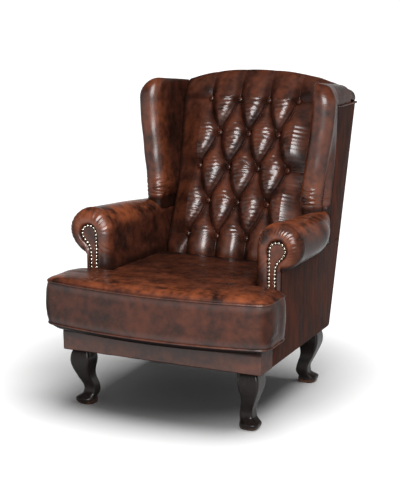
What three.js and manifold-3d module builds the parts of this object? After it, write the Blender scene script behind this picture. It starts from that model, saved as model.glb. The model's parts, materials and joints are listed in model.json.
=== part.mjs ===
// Wingback armchair with a deep-buttoned back, rolled arms and a loose T-shaped seat cushion.
// Millimetres, +Z up. The sitter faces -Y, so the sitter's left arm is on the +X side.
import * as THREE from 'three';
import { mergeVertices } from 'three/addons/utils/BufferGeometryUtils.js';
import Module from 'manifold-3d';

const wasm = await Module();
wasm.setup();

// Sizes of the whole chair
const fitGap = 0.3;                 // clearance where two pieces touch
const overrun = 20;                 // how far a cutting shape runs past what it cuts
const bodyHalfWidth = 350;          // middle of the chair to an outside panel's face
const baseDepth = 637;              // front border's face to the outside back, at the rails
const legHeight = 182.7;           // tops of the legs, where the body starts
const floorHeight = -10;            // the floor, as the heights below are counted
const backRake = THREE.MathUtils.degToRad(16.9);
const skinThickness = 6.3;          // an outside cover with its board and wadding
const crestHeight = 1050;           // top of the crest in the middle of the chair
const crestFall = 64;               // how much lower the crest is at its two ends
const crestPower = 2.4;             // above 2 the crest is flatter in its middle
const crestEndInset = 5;            // outside panels to the crest's two ends
const flapDrop = 36.7;              // how far the crest hangs down behind, below its two ends
const flapOverhang = 8;
const pipingRadius = 3.5;
const pipingCorner = 7;

// Frame timber
const railHeight = 67;
const railThickness = 30;
const postThickness = 35;
const stretcherHeight = 50;
const stretcherLift = 355;          // along the raked back, from the rails' lower edge
const crestRailThickness = 23;
const crestRailEndHeight = 38.9;    // along the raked back, at its two ends
const crestRailEndInset = 10;       // the crest's ends to the rail's ends
const crestRidgeStep = 1;            // how far the crest's rear half lies below the ridge
const crestPadding = 48;            // padding between the crest rail's top and the crest
const armRailBottom = 490;
const armRailHeight = 25;
const stumpFront = 174;
const stumpThickness = 30;
const wingBoardLift = 15.7;         // wing board's top above the crest's lower edge
const wingBoardLead = 10;           // how far the wing board reaches in front of the seam
const blockWidth = 90;
const blockHeight = 45;

// Seat
const springWire = 3.6;
const springSwing = 22;
const springSideSpace = 64;         // arms' inner faces to the outermost springs
const springWaves = 6;
const springCount = 4;
const deckThickness = 8;
const borderReturn = 96;
const dustCoverThickness = 2;
const dustCoverInset = 10;

// Arms
const armThickness = 96;            // outside panel's face to the arm's inner face
const armFront = 160;               // front of the arm's facing
const armLap = 16;                  // how far the leather bulges forward round the facing
const armRollInset = 17;            // outside panel's face to the middle of the roll
const armCentreZ = 550;
const armRollHeight = 77;           // half the height of the roll at the front
const armRollReach = 84;            // how far the roll reaches outward from its centre
const armTopFall = 36;              // how much lower the arm's top is at the wing
const armRollEnd = 640;             // where the roll has drawn in to the outside panel
const armShoulder = 8;              // how far the roll's inner side stands back from the arm's inner face
const armFrontRound = 14;
const facingThickness = 8;

// Scroll of the arm's front, along the middle of its nails
const scrollInset = 40;             // outside panel's face to the scroll's inner line
const scrollNeckWidth = 19;
const scrollHeadInset = 13.5;
const scrollHeadZ = 541;
const scrollHeadRadius = 26.5;
const scrollThroatInset = 16;
const scrollThroatZ = 500;
const scrollNeckZ = 484;
const armUnderside = 481;           // where the roll's underside meets the outside panel
const facingMargin = 5;
const stumpMargin = 3;
const nailPitch = 14;
const nailRadius = 4.4;
const nailHeight = 2.6;
const nailBandHalfWidth = 4.6;
const nailBandThickness = 1.2;
const nailBandBottom = 300;

// Wings
const wingTopDrop = 20;             // crest to the tops of the wings
const wingCornerHeight = 72;        // rounding of a wing's outer top corner
const wingCornerWidth = 66;
const wingFrontRound = 45;
const wingInnerRound = 6;
const wingTopFall = 23;             // how much lower the wing's top is at the crest
const wingRollRadiusLow = 38;
const wingRollRadiusHigh = 41;
const wingRollInsetLow = 57;        // outside panel's face to the middle of the wing's front roll
const wingRollInsetHigh = 24;
const wingRollYLow = 586;
const wingRollYHigh = 602;
const wingThicknessHigh = 66;
const wingFoot = 600;               // height at which a wing meets its arm
const wingSeamLow = 622;
const wingSeamKnee = 662;
const wingSeamHigh = 680;
const wingSeamKneeHeight = 766;
const outsideSeam = 481.4;          // seam between an outside arm and its outside wing

// Tufted back
const buttonSpacing = 113;
const lowestRow = 478;
const topRowDrop = 104;             // crest to the top row of buttons
const lowestRowInset = 140.3;       // outside back to the lowest row, square to the back
const topRowInset = 81.9;
const puffHeight = 32;
const foldHeight = 6;
const padEdgeFall = 40;             // how far the pad's surface falls away beside the arms and wings
const padSideGap = 2.5;
const padFootLead = 16.5;           // how far the pad's foot lies in front of the lowest row
const padRearInset = 42;
const buttonRadius = 10;
const buttonHeight = 6;
const buttonSides = 6;
const pocketClearance = 0.5;
const shankRadius = 1.8;
const shankClearance = 0.6;
const twineRadius = 1.4;
const crestRidgeLead = 10;          // how far the ridge lies in front of the pad's rear face

// Seat cushion
const cushionEarReach = 38;         // how far the two ears reach out past the outside panels
const cushionArmSpace = 8;          // cushion's border to an arm's inner face
const cushionFront = -52;
const cushionBow = 38;              // how far the front bows forward in its middle
const cushionRearSpace = 53.5;      // cushion's border to the foot of the back pad's button plane
const cushionFrontSpace = 32;       // ears' border to the arms' facings
const cushionCorner = 42;
const cushionRearCorner = 30;
const earCorner = 42;               // rounding of an ear's rear corner
const stemCorner = 14;              // rounding between an ear and the cushion's stem
const cushionBottomSeam = 279;
const cushionTopSeam = 418;
const cushionCrown = 20;
const cushionRearFall = 5;
const cushionBelly = 5.5;
const coverThickness = 3;
const zipHalfLength = 150;
const zipHalfHeight = 4;
const zipSliderLength = 14;
const zipSliderDepth = 1.5;

// Legs
const legInset = 24.3;               // outside faces to the leg's outer corner, at its top
const kneeWidth = 56;
const legBlockHeight = 44;
const legBlockReachX = 10;
const legBlockReachY = 28;
const boltInset = 12;               // how far the bolt stands inward from the leg's middle
const boltRadius = 4;
const boltInLeg = 45;
const boltAboveBlock = 8;
const nutRadius = 9;
const nutHeight = 6;
const boltClearance = 0.4;

// Heights and depths that follow from the sizes above
const railBottom = legHeight + fitGap;
const railTop = railBottom + railHeight;
const deckBottom = railTop + fitGap;
const deckTop = deckBottom + deckThickness;
const frameInset = skinThickness + fitGap;
const frameHalf = bodyHalfWidth - frameInset;
const armInner = bodyHalfWidth - armThickness;
const armCentreX = bodyHalfWidth - armRollInset;
const scrollInner = bodyHalfWidth - scrollInset;
const scrollNeckOuter = scrollInner + scrollNeckWidth;
const scrollHeadX = bodyHalfWidth - scrollHeadInset;
const scrollThroatX = bodyHalfWidth - scrollThroatInset;
const wingInnerHigh = bodyHalfWidth - wingThicknessHigh;
const springHalfSpread = armInner - springSideSpace;
const crestHalfWidth = bodyHalfWidth - crestEndInset;
const crestRailHalfWidth = crestHalfWidth - crestRailEndInset;
const crestEndTop = crestHeight - crestFall;
const flapHeight = crestEndTop - flapDrop;
const postFrontInset = frameInset + postThickness;
const boardInner = frameHalf - railThickness;
const rowCount = 5;
const halfSpacing = buttonSpacing / 2;
const wingTop = crestHeight - wingTopDrop;
const wingShoulder = wingTop - wingCornerHeight;
const topRowHeight = crestHeight - topRowDrop;
const buttonRowHeight = (topRowHeight - lowestRow) / (rowCount - 1);
const lowestRowDepth = backDepth(lowestRow, lowestRowInset);
const topRowDepth = backDepth(topRowHeight, topRowInset);
const buttonRowRun = (topRowDepth - lowestRowDepth) / (rowCount - 1);
const padFootDepth = lowestRowDepth - padFootLead;
const cushionHalfWidth = bodyHalfWidth + cushionEarReach;
const cushionBodyHalf = armInner - cushionArmSpace;
const cushionRear = padFootDepth - cushionRearSpace;
const earRear = armFront - cushionFrontSpace;
const armPadFront = armFront + facingThickness + fitGap;

const { lerp, smoothstep, clamp } = THREE.MathUtils;

// Depth of the raked back plane at a height, some way in from the outside back
function backDepth(z, inset) {
  return baseDepth + (z - railBottom) * Math.tan(backRake) - inset / Math.cos(backRake);
}

// A point of the raked back, by its distance along the slope and its inset
function backPoint(along, inset) {
  return [
    baseDepth + along * Math.sin(backRake) - inset * Math.cos(backRake),
    railBottom + along * Math.cos(backRake) + inset * Math.sin(backRake),
  ];
}

function crestTop(x) {
  return crestHeight - crestFall * Math.abs(x / crestHalfWidth) ** crestPower;
}

const crestRailEndTop = crestTop(crestRailHalfWidth) - crestPadding;
const postLength = (crestRailEndTop - railBottom) / Math.cos(backRake) - crestRailEndHeight;

function ridgeDepth(x) {
  return backDepth(crestTop(x), padRearInset) - crestRidgeLead;
}

// Inner face of an arm, and of the wing above it, which flares outward
function innerHalf(z) {
  return lerp(armInner, wingInnerHigh, smoothstep(z, wingFoot, wingShoulder));
}

// Solids and meshes

function bareGeometry(geometry) {
  const bare = geometry.clone();
  for (const name of Object.keys(bare.attributes)) {
    if (name !== 'position') bare.deleteAttribute(name);
  }
  return bare;
}

function solid(geometry) {
  const merged = mergeVertices(bareGeometry(geometry));
  const mesh = new wasm.Mesh({
    numProp: 3,
    vertProperties: new Float32Array(merged.attributes.position.array),
    triVerts: new Uint32Array(merged.index.array),
  });
  return new wasm.Manifold(mesh);
}

function meshGeometry(body) {
  const mesh = body.getMesh();
  const geometry = new THREE.BufferGeometry();
  geometry.setAttribute('position', new THREE.BufferAttribute(mesh.vertProperties, 3));
  geometry.setIndex(new THREE.BufferAttribute(mesh.triVerts, 1));
  geometry.computeVertexNormals();
  return geometry;
}

function cut(geometry, cutters) {
  let body = solid(geometry);
  for (const cutter of cutters) body = body.subtract(solid(cutter));
  return meshGeometry(body);
}

function join(geometries) {
  let body = solid(geometries[0]);
  for (const geometry of geometries.slice(1)) body = body.add(solid(geometry));
  return meshGeometry(body);
}

// A closed geometry from points and triangles, with its faces turned outward
function closedGeometry(points, triangles) {
  let volume = 0;
  const [a, b, c] = [new THREE.Vector3(), new THREE.Vector3(), new THREE.Vector3()];
  for (const [i, j, k] of triangles) {
    a.fromArray(points[i]);
    b.fromArray(points[j]);
    c.fromArray(points[k]);
    volume += a.dot(b.cross(c));
  }
  const faces = volume < 0 ? triangles.map(([i, j, k]) => [i, k, j]) : triangles;
  const geometry = new THREE.BufferGeometry();
  geometry.setAttribute('position', new THREE.Float32BufferAttribute(points.flat(), 3));
  geometry.setIndex(faces.flat());
  geometry.computeVertexNormals();
  return geometry;
}

// The same geometry with its faces turned outward
function outward(geometry) {
  const merged = mergeVertices(bareGeometry(geometry));
  const points = [];
  const place = merged.attributes.position;
  for (let i = 0; i < place.count; i += 1) points.push([place.getX(i), place.getY(i), place.getZ(i)]);
  const triangles = [];
  const index = merged.index.array;
  for (let i = 0; i < index.length; i += 3) triangles.push([index[i], index[i + 1], index[i + 2]]);
  return closedGeometry(points, triangles.filter(([i, j, k]) => i !== j && j !== k && k !== i));
}

// The same piece on the other side of the chair, or at its other end
function mirrored(geometry, axis = 'x') {
  const copy = geometry.clone();
  copy.scale(axis === 'x' ? -1 : 1, axis === 'y' ? -1 : 1, 1);
  const flipped = copy.index ? copy : mergeVertices(copy);
  const index = flipped.index.array.slice();
  for (let i = 0; i < index.length; i += 3) [index[i + 1], index[i + 2]] = [index[i + 2], index[i + 1]];
  flipped.setIndex(new THREE.BufferAttribute(index, 1));
  flipped.computeVertexNormals();
  return flipped;
}

function box(from, to) {
  const geometry = new THREE.BoxGeometry(to[0] - from[0], to[1] - from[1], to[2] - from[2]);
  return geometry.translate((from[0] + to[0]) / 2, (from[1] + to[1]) / 2, (from[2] + to[2]) / 2);
}

function extrusion(outline, depth) {
  const shape = new THREE.Shape(outline.map(([a, b]) => new THREE.Vector2(a, b)));
  return new THREE.ExtrudeGeometry(shape, { depth, bevelEnabled: false });
}

// Boards with their outline in the YZ, XZ or XY plane
function boardX(outline, from, to) {
  const basis = new THREE.Matrix4().makeBasis(
    new THREE.Vector3(0, 1, 0), new THREE.Vector3(0, 0, 1), new THREE.Vector3(1, 0, 0));
  return extrusion(outline, to - from).applyMatrix4(basis).translate(from, 0, 0);
}

function boardY(outline, from, to) {
  const basis = new THREE.Matrix4().makeBasis(
    new THREE.Vector3(1, 0, 0), new THREE.Vector3(0, 0, 1), new THREE.Vector3(0, -1, 0));
  return extrusion(outline, to - from).applyMatrix4(basis).translate(0, to, 0);
}

function boardZ(outline, from, to) {
  return extrusion(outline, to - from).translate(0, 0, from);
}

// A board that lies along the raked back: its outline is (x, distance along the slope)
function backBoard(outline, inset, thickness) {
  const up = new THREE.Vector3(0, Math.sin(backRake), Math.cos(backRake));
  const inward = new THREE.Vector3(0, -Math.cos(backRake), Math.sin(backRake));
  const place = new THREE.Matrix4().makeBasis(new THREE.Vector3(1, 0, 0), up, inward);
  place.setPosition(0, ...backPoint(0, inset));
  return extrusion(outline, thickness).applyMatrix4(place);
}

function middleOf(ring) {
  return [0, 1, 2].map((axis) => ring.reduce((sum, p) => sum + p[axis], 0) / ring.length);
}

// Ways to close the end of a loft: a fan about a point, or a zip between the ring's first and
// second half, taken rung by rung or by height
function fanCap(ring, about = middleOf(ring)) {
  return { extra: [about], faces: ring.map((_, j) => [j, (j + 1) % ring.length, ring.length]) };
}

function zipCap(firstHalfNext) {
  return (ring) => {
    const faces = [];
    let [a, b] = [0, ring.length - 1];
    while (b - a > 1) {
      if (firstHalfNext(ring, a, b)) {
        faces.push([a, a + 1, b]);
        a += 1;
      } else {
        faces.push([a, b - 1, b]);
        b -= 1;
      }
    }
    return { extra: [], faces };
  };
}

const ladderCap = zipCap((ring, a, b) => a + b < ring.length);
const heightCap = zipCap((ring, a, b) => ring[a + 1][2] <= ring[b - 1][2]);

// Skin over a row of rings with equal point counts; crossed picks a quad's other diagonal
function loft(rings, { cap = (ring) => fanCap(ring), crossed = () => false } = {}) {
  const points = rings.flat();
  const count = rings[0].length;
  const triangles = [];
  for (let i = 0; i < rings.length - 1; i += 1) {
    for (let j = 0; j < count; j += 1) {
      const a = i * count + j;
      const b = i * count + (j + 1) % count;
      const [c, d] = [b + count, a + count];
      if (crossed(i, j)) triangles.push([a, b, d], [b, c, d]);
      else triangles.push([a, b, c], [a, c, d]);
    }
  }
  for (const end of [0, rings.length - 1]) {
    const { extra, faces } = cap(rings[end]);
    const place = (j) => (j < count ? end * count + j : points.length + j - count);
    const placed = faces.map((face) => face.map(place));
    points.push(...extra);
    triangles.push(...placed.map(([a, b, c]) => (end === 0 ? [a, c, b] : [a, b, c])));
  }
  return closedGeometry(points, triangles);
}

// A tube that closes on itself around an outline, outside it by its own radius and the fit gap
function closedPiping(outline, radius, sides = 5) {
  const count = outline.length;
  const points = [];
  const triangles = [];
  outline.forEach(([x, y, z], i) => {
    const [before, after] = [outline[(i + count - 1) % count], outline[(i + 1) % count]];
    const tangent = new THREE.Vector2(after[0] - before[0], after[1] - before[1]).normalize();
    const out = [tangent.y, -tangent.x];
    for (let k = 0; k < sides; k += 1) {
      const turn = k / sides * 2 * Math.PI;
      const reach = radius + fitGap + radius * Math.cos(turn);
      points.push([x + out[0] * reach, y + out[1] * reach, z + radius * Math.sin(turn)]);
      const [a, b] = [i * sides + k, i * sides + (k + 1) % sides];
      const [c, d] = [(b + sides) % (count * sides), (a + sides) % (count * sides)];
      triangles.push([a, b, c], [a, c, d]);
    }
  });
  return closedGeometry(points, triangles);
}

// A turned piece: its profile is (radius, distance along the axis), closed on the axis
function turned(profile, sides) {
  return outward(new THREE.LatheGeometry(profile.map(([r, t]) => new THREE.Vector2(r, t)), sides));
}

// Seat frame

function frontRail() {
  return box([-frameHalf, frameInset, railBottom], [frameHalf, frameInset + railThickness, railTop]);
}

const sideRailFront = frameInset + railThickness + fitGap;

function sideRail() {
  const rear = postFrontInset + fitGap;
  const outline = [
    [sideRailFront, railBottom],
    [backDepth(railBottom, rear), railBottom],
    [backDepth(railTop, rear), railTop],
    [sideRailFront, railTop],
  ];
  return boardX(outline, boardInner, frameHalf);
}

function rearRail() {
  const half = frameHalf - postThickness - fitGap;
  const outline = [
    [backDepth(railBottom, postFrontInset), railBottom],
    [backDepth(railBottom, frameInset), railBottom],
    [backDepth(railTop, frameInset), railTop],
    [backDepth(railTop, postFrontInset), railTop],
  ];
  return boardX(outline, -half, half);
}

const boltX = bodyHalfWidth - legInset - kneeWidth / 2 - boltInset;
const boltY = legInset + kneeWidth / 2 + boltInset;

function cornerBlock() {
  const [x, y] = [boardInner - fitGap, sideRailFront];
  const outline = [[x, y], [x, y + blockWidth], [x - blockWidth, y]];
  return boardZ(outline, railBottom, railBottom + blockHeight);
}

function blockHole() {
  return boltHole(railBottom - overrun, railBottom + blockHeight + overrun);
}

// A front piece turned end for end, so that what faces the front at depth 0 faces the rear
function atRear(geometry, rearFace) {
  return mirrored(geometry, 'y').translate(0, rearFace, 0);
}

// The rear blocks stand against the foot of the raked back frame
const blockRearFace = backDepth(railBottom, postFrontInset) - fitGap + sideRailFront;

function boltHole(from, to) {
  const radius = boltRadius + boltClearance;
  const hole = new THREE.CylinderGeometry(radius, radius, to - from, 12).rotateX(Math.PI / 2);
  return hole.translate(boltX, boltY, (from + to) / 2);
}

function legBolt() {
  const nutBottom = railBottom + blockHeight + fitGap;
  const profile = [
    [0, legHeight - boltInLeg],
    [boltRadius, legHeight - boltInLeg],
    [boltRadius, nutBottom],
    [nutRadius, nutBottom],
    [nutRadius, nutBottom + nutHeight],
    [boltRadius, nutBottom + nutHeight],
    [boltRadius, nutBottom + nutHeight + boltAboveBlock],
    [0, nutBottom + nutHeight + boltAboveBlock],
  ];
  return turned(profile, 8).rotateX(Math.PI / 2).translate(boltX, boltY, 0);
}

function seatSpring(x) {
  const z = railTop - springWire / 2;
  const front = sideRailFront + springWire;
  const rear = backDepth(z, postFrontInset + fitGap) - springWire;
  const pointsPerWave = 4;
  const swings = [0, 1, 0, -1];
  const path = [];
  for (let i = 0; i <= springWaves * pointsPerWave; i += 1) {
    const y = lerp(front, rear, i / (springWaves * pointsPerWave));
    path.push(new THREE.Vector3(x + springSwing * swings[i % pointsPerWave], y, z));
  }
  const curve = new THREE.CatmullRomCurve3(path, false, 'catmullrom', 0.5);
  const section = new THREE.Shape(ringPoints(springWire / 2, 4));
  const steps = springWaves * pointsPerWave;
  return new THREE.ExtrudeGeometry(section, { steps, extrudePath: curve, bevelEnabled: false });
}

function ringPoints(radius, sides) {
  return Array.from({ length: sides }, (_, k) => {
    const turn = (k + 0.5) / sides * 2 * Math.PI;
    return new THREE.Vector2(radius * Math.cos(turn), radius * Math.sin(turn));
  });
}

function seatDeck() {
  const inner = armInner - fitGap;
  const step = armPadFront - armLap - fitGap;
  const rear = backDepth(deckBottom, frameInset);
  const outline = [
    [-frameHalf, frameInset], [frameHalf, frameInset], [frameHalf, step], [inner, step],
    [inner, rear], [-inner, rear], [-inner, step], [-frameHalf, step],
  ];
  return boardZ(outline, deckBottom, deckTop);
}

function dustCover() {
  const legX = bodyHalfWidth - legInset - kneeWidth - legBlockReachX - fitGap * 2;
  const legY = legInset + kneeWidth + legBlockReachY + fitGap * 2;
  const half = bodyHalfWidth - dustCoverInset;
  const [front, rear] = [dustCoverInset, baseDepth - dustCoverInset];
  const rearLegY = baseDepth - legY;
  const outline = [
    [-legX, front], [legX, front], [legX, legY], [half, legY], [half, rearLegY], [legX, rearLegY],
    [legX, rear], [-legX, rear], [-legX, rearLegY], [-half, rearLegY], [-half, legY], [-legX, legY],
  ];
  return boardZ(outline, legHeight - dustCoverThickness, legHeight);
}

// Back frame

function backPost() {
  const outline = [
    [backDepth(railBottom, frameInset), railBottom],
    [backDepth(railBottom, postFrontInset), railBottom],
    backPoint(postLength, postFrontInset),
    backPoint(postLength, frameInset),
  ];
  return boardX(outline, frameHalf - postThickness, frameHalf);
}

function backStretcher() {
  const half = frameHalf - postThickness - fitGap;
  const outline = [
    [-half, stretcherLift], [half, stretcherLift],
    [half, stretcherLift + stretcherHeight], [-half, stretcherLift + stretcherHeight],
  ];
  return backBoard(outline, frameInset, crestRailThickness);
}

function crestRail(grow = 0) {
  const half = crestRailHalfWidth + grow;
  const foot = postLength + fitGap - grow * overrun;
  const outline = [[-half, foot], [half, foot]];
  const steps = 10;
  for (let i = 0; i <= steps; i += 1) {
    const x = lerp(half, -half, i / steps);
    const top = crestTop(x) - crestPadding;
    outline.push([x, (top - railBottom) / Math.cos(backRake) + grow]);
  }
  return backBoard(outline, frameInset - grow, crestRailThickness + 2 * grow);
}

// Arms

// The scroll's outline seen from the front, moved outward by a margin: up the inner side,
// over the head, in at the throat and down the outer side
const scrollTurns = [180, 150, 120, 90, 60, 30, 0, -30, -58];

function scroll(margin, bottom) {
  const radius = scrollHeadRadius + margin;
  const throatOut = THREE.MathUtils.degToRad(-30);
  const head = scrollTurns.map((turn) => {
    const angle = THREE.MathUtils.degToRad(turn);
    return [scrollHeadX + radius * Math.cos(angle), scrollHeadZ + radius * Math.sin(angle)];
  });
  const throat = [scrollThroatX + margin * Math.cos(throatOut), scrollThroatZ + margin * Math.sin(throatOut)];
  return [
    [scrollInner - margin, bottom],
    ...head,
    throat,
    [scrollNeckOuter + margin, scrollNeckZ],
    [scrollNeckOuter + margin, bottom],
  ];
}

function armFacing() {
  return boardY(scroll(facingMargin, deckTop + fitGap), armFront, armFront + facingThickness);
}

function armStump(grow = 0) {
  const outline = scroll(stumpMargin + grow, railTop + fitGap - grow);
  return boardY(outline, stumpFront - grow, stumpFront + stumpThickness + grow);
}

function armRail(grow = 0) {
  const front = stumpFront + stumpThickness + fitGap - grow;
  const rear = postFrontInset + fitGap - grow;
  const [low, high] = [armRailBottom - grow, armRailBottom + armRailHeight + grow];
  const outline = [[front, low], [backDepth(low, rear), low], [backDepth(high, rear), high], [front, high]];
  return boardX(outline, boardInner - grow, frameHalf + grow);
}

// Front edge of the outside wing: the seam behind the wing's front roll
function wingSeam(z) {
  if (z < wingFoot) return wingSeamLow;
  if (z < wingSeamKneeHeight) {
    return lerp(wingSeamLow, wingSeamKnee, (z - wingFoot) / (wingSeamKneeHeight - wingFoot));
  }
  return lerp(wingSeamKnee, wingSeamHigh, (z - wingSeamKneeHeight) / (flapHeight - wingSeamKneeHeight));
}

function wingBoard(grow = 0) {
  const rear = postFrontInset + fitGap - grow;
  const low = armRailBottom + armRailHeight + fitGap - grow;
  const high = flapHeight + wingBoardLift + grow;
  const lead = wingBoardLead + grow;
  const outline = [
    [wingSeam(low) - lead, low],
    [backDepth(low, rear), low],
    [backDepth(high, rear), high],
    [wingSeam(flapHeight) - lead, high],
    [wingSeam(wingSeamKneeHeight) - lead, wingSeamKneeHeight],
    [wingSeam(wingFoot) - lead, wingFoot],
  ];
  return boardX(outline, boardInner - grow, frameHalf + grow);
}

// The nose round the facing: how full each ring is, and how far forward it lies as a share of the lap
const noseShares = [[0, 0], [0, 0.4], [0.05, 0.7], [0.22, 0.95], [0.45, 1], [0.7, 0.84], [0.9, 0.4]];

// The arm's padding: rings across the arm, from the recess behind its facing to the raked back
function armPad(grow = 0) {
  const front = armPadFront - grow;
  const bottom = railTop + fitGap - grow;
  const roundEnd = front + armFrontRound;
  const lengthShares = [0, 0.22, 0.42, 0.56, 0.68, 0.78, 0.86, 1];
  const fullLengthShare = 0.45;
  const small = scroll(facingMargin + fitGap + grow, bottom);
  const nose = noseShares.map(([full, lead]) => {
    const large = armSection(armRollReach, 0, grow, bottom);
    return large.map(([x, z], i) => [lerp(small[i][0], x, full), front - armLap * lead, lerp(small[i][1], z, full)]);
  });
  const rearDepth = (z) => backDepth(z, postFrontInset + fitGap - grow);
  const length = lengthShares.map((along) => {
    const reference = lerp(roundEnd, rearDepth(armCentreZ), along);
    const drawnIn = smoothstep(reference, lerp(roundEnd, armRollEnd, fullLengthShare), armRollEnd);
    const reach = lerp(armRollReach, bodyHalfWidth - armCentreX, drawnIn);
    const fall = armTopFall * Math.min((reference - front) / (armRollEnd - front), 1);
    const section = armSection(reach, fall, grow, bottom);
    return section.map(([x, z]) => [x, lerp(roundEnd, rearDepth(z), along), z]);
  });
  return loft([...nose, ...length], { cap: ladderCap });
}

// One full section of the arm, with the same points as the scroll's outline
function armSection(reach, fall, grow, bottom) {
  const inner = armInner + armShoulder - grow;
  const outside = bodyHalfWidth + grow;
  const roll = scrollTurns.map((turn) => {
    const angle = THREE.MathUtils.degToRad(turn);
    const side = turn > 90 ? armCentreX - inner : reach + grow;
    const height = turn > 0 ? armRollHeight - fall + grow : armRollHeight + grow;
    const x = armCentreX + side * Math.cos(angle);
    return [turn > 0 ? x : Math.max(x, outside), armCentreZ + height * Math.sin(angle)];
  });
  const underside = armUnderside - grow;
  const tuckShare = 0.8;
  return [
    [armInner - grow, bottom],
    ...roll,
    [outside + fitGap, lerp(roll.at(-1)[1], underside, tuckShare)],
    [outside, underside],
    [outside, bottom],
  ];
}

function cutArmPad() {
  return cut(armPad(), [
    armStump(fitGap), armRail(fitGap), wingBoard(fitGap), outsideArm(fitGap), outsideWing(fitGap),
  ]);
}

// A leather band along the scroll with domed nail heads on it
function nailTrim() {
  const inner = scroll(-nailBandHalfWidth, nailBandBottom);
  const outer = scroll(nailBandHalfWidth, nailBandBottom);
  const back = armFront - fitGap;
  const face = back - nailBandThickness;
  const band = boardY([...outer, ...inner.reverse()], face, back);
  const path = new THREE.CurvePath();
  const outline = scroll(0, nailBandBottom + nailPitch / 2);
  const middle = outline.map(([x, z]) => new THREE.Vector3(x, face, z));
  for (let i = 0; i < middle.length - 1; i += 1) path.add(new THREE.LineCurve3(middle[i], middle[i + 1]));
  const count = Math.floor(path.getLength() / nailPitch);
  const nails = path.getSpacedPoints(count).map((place) => nailHead().translate(...place.toArray()));
  return join([band, ...nails]);
}

function nailHead() {
  const root = nailBandThickness / 2;
  const skirtShare = 0.35;
  const profile = [[0, root], [nailRadius, root], [nailRadius, -nailHeight * skirtShare], [0, -nailHeight]];
  return turned(profile, 6);
}

// Wings

// The wing's padding: level rings from inside the arm up to its rounded top
function wingPad() {
  const levelShares = [0.02, 0.2, 0.36, 0.52, 0.68, 0.84, 1];
  const domeTurns = [25, 50, 72, 88];
  const rings = [
    ...levelShares.map((share) => wingRing(lerp(armCentreZ, wingShoulder, share), 0)),
    ...domeTurns.map((turn) => wingRing(wingShoulder, THREE.MathUtils.degToRad(turn))),
  ];
  return loft(rings, { cap: ladderCap });
}

const wingRollTurns = [-20, 10, 40, 70, 100, 130, 160, 180];

function wingRing(level, dome) {
  const share = smoothstep(level, wingFoot, wingShoulder);
  const rollX = bodyHalfWidth - lerp(wingRollInsetLow, wingRollInsetHigh, share);
  const rollY = lerp(wingRollYLow, wingRollYHigh, share);
  const radius = lerp(wingRollRadiusLow, wingRollRadiusHigh, share);
  const inner = innerHalf(level) + fitGap;
  const height = level + wingCornerHeight * Math.sin(dome);
  const rear = backDepth(height - wingTopFall * Math.sin(dome), padRearInset + padSideGap);
  const outline = [
    [bodyHalfWidth, rear],
    [bodyHalfWidth, wingSeam(level)],
    ...wingRollTurns.map((turn) => {
      const angle = THREE.MathUtils.degToRad(turn);
      return [Math.max(rollX + radius * Math.cos(angle), inner), rollY - radius * Math.sin(angle)];
    }),
    [inner, rollY + radius],
    [inner, rear],
  ];
  const lost = 1 - Math.cos(dome);
  const front = rollY - radius;
  const outer = rollX + radius;
  const width = (outer - inner - (wingCornerWidth + wingInnerRound) * lost) / (outer - inner);
  const length = (rear - front - wingFrontRound * lost) / (rear - front);
  return outline.map(([x, y]) => {
    const depth = rear + (y - rear) * length;
    const fall = wingTopFall * Math.sin(dome) * (depth - rollY) / (rear - rollY);
    return [inner + wingInnerRound * lost + (x - inner) * width, depth, height - Math.max(fall, 0)];
  });
}

function cutWingPad() {
  return cut(wingPad(), [wingBoard(fitGap), outsideWing(fitGap), armPad(fitGap)]);
}

// Outside covers

function outsideArm(grow = 0) {
  const front = armFront + facingThickness;
  const rear = frameInset - grow;
  const [low, high] = [railBottom - grow, outsideSeam + grow];
  const outline = [
    [borderReturn + fitGap - grow, low],
    [backDepth(low, rear), low],
    [backDepth(high, rear), high],
    [front - grow, high],
    [front - grow, deckTop + grow],
    [borderReturn + fitGap - grow, deckTop + grow],
  ];
  return boardX(outline, bodyHalfWidth - skinThickness - grow, bodyHalfWidth + grow * overrun);
}

function outsideWing(grow = 0) {
  const rear = frameInset - grow;
  const [low, high] = [outsideSeam + fitGap - grow, flapHeight - fitGap * 2 + grow];
  const outline = [
    [wingSeam(low) - grow, low],
    [backDepth(low, rear), low],
    [backDepth(high, rear), high],
    [wingSeam(high) - grow, high],
    [wingSeam(wingSeamKneeHeight) - grow, wingSeamKneeHeight],
    [wingSeam(wingFoot) - grow, wingFoot],
  ];
  return boardX(outline, bodyHalfWidth - skinThickness - grow, bodyHalfWidth + grow * overrun);
}

function outsideBack() {
  const lean = skinThickness * Math.tan(backRake);
  const top = (flapHeight - railBottom) / Math.cos(backRake) - lean - fitGap * 2;
  const outline = [[-bodyHalfWidth, 0], [bodyHalfWidth, 0], [bodyHalfWidth, top], [-bodyHalfWidth, top]];
  return backBoard(outline, 0, skinThickness);
}

function frontBorder() {
  const inner = bodyHalfWidth - skinThickness;
  const outline = [
    [-bodyHalfWidth, 0], [bodyHalfWidth, 0], [bodyHalfWidth, borderReturn], [inner, borderReturn],
    [inner, skinThickness], [-inner, skinThickness], [-inner, borderReturn], [-bodyHalfWidth, borderReturn],
  ];
  return boardZ(outline, railBottom, deckTop);
}

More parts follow.
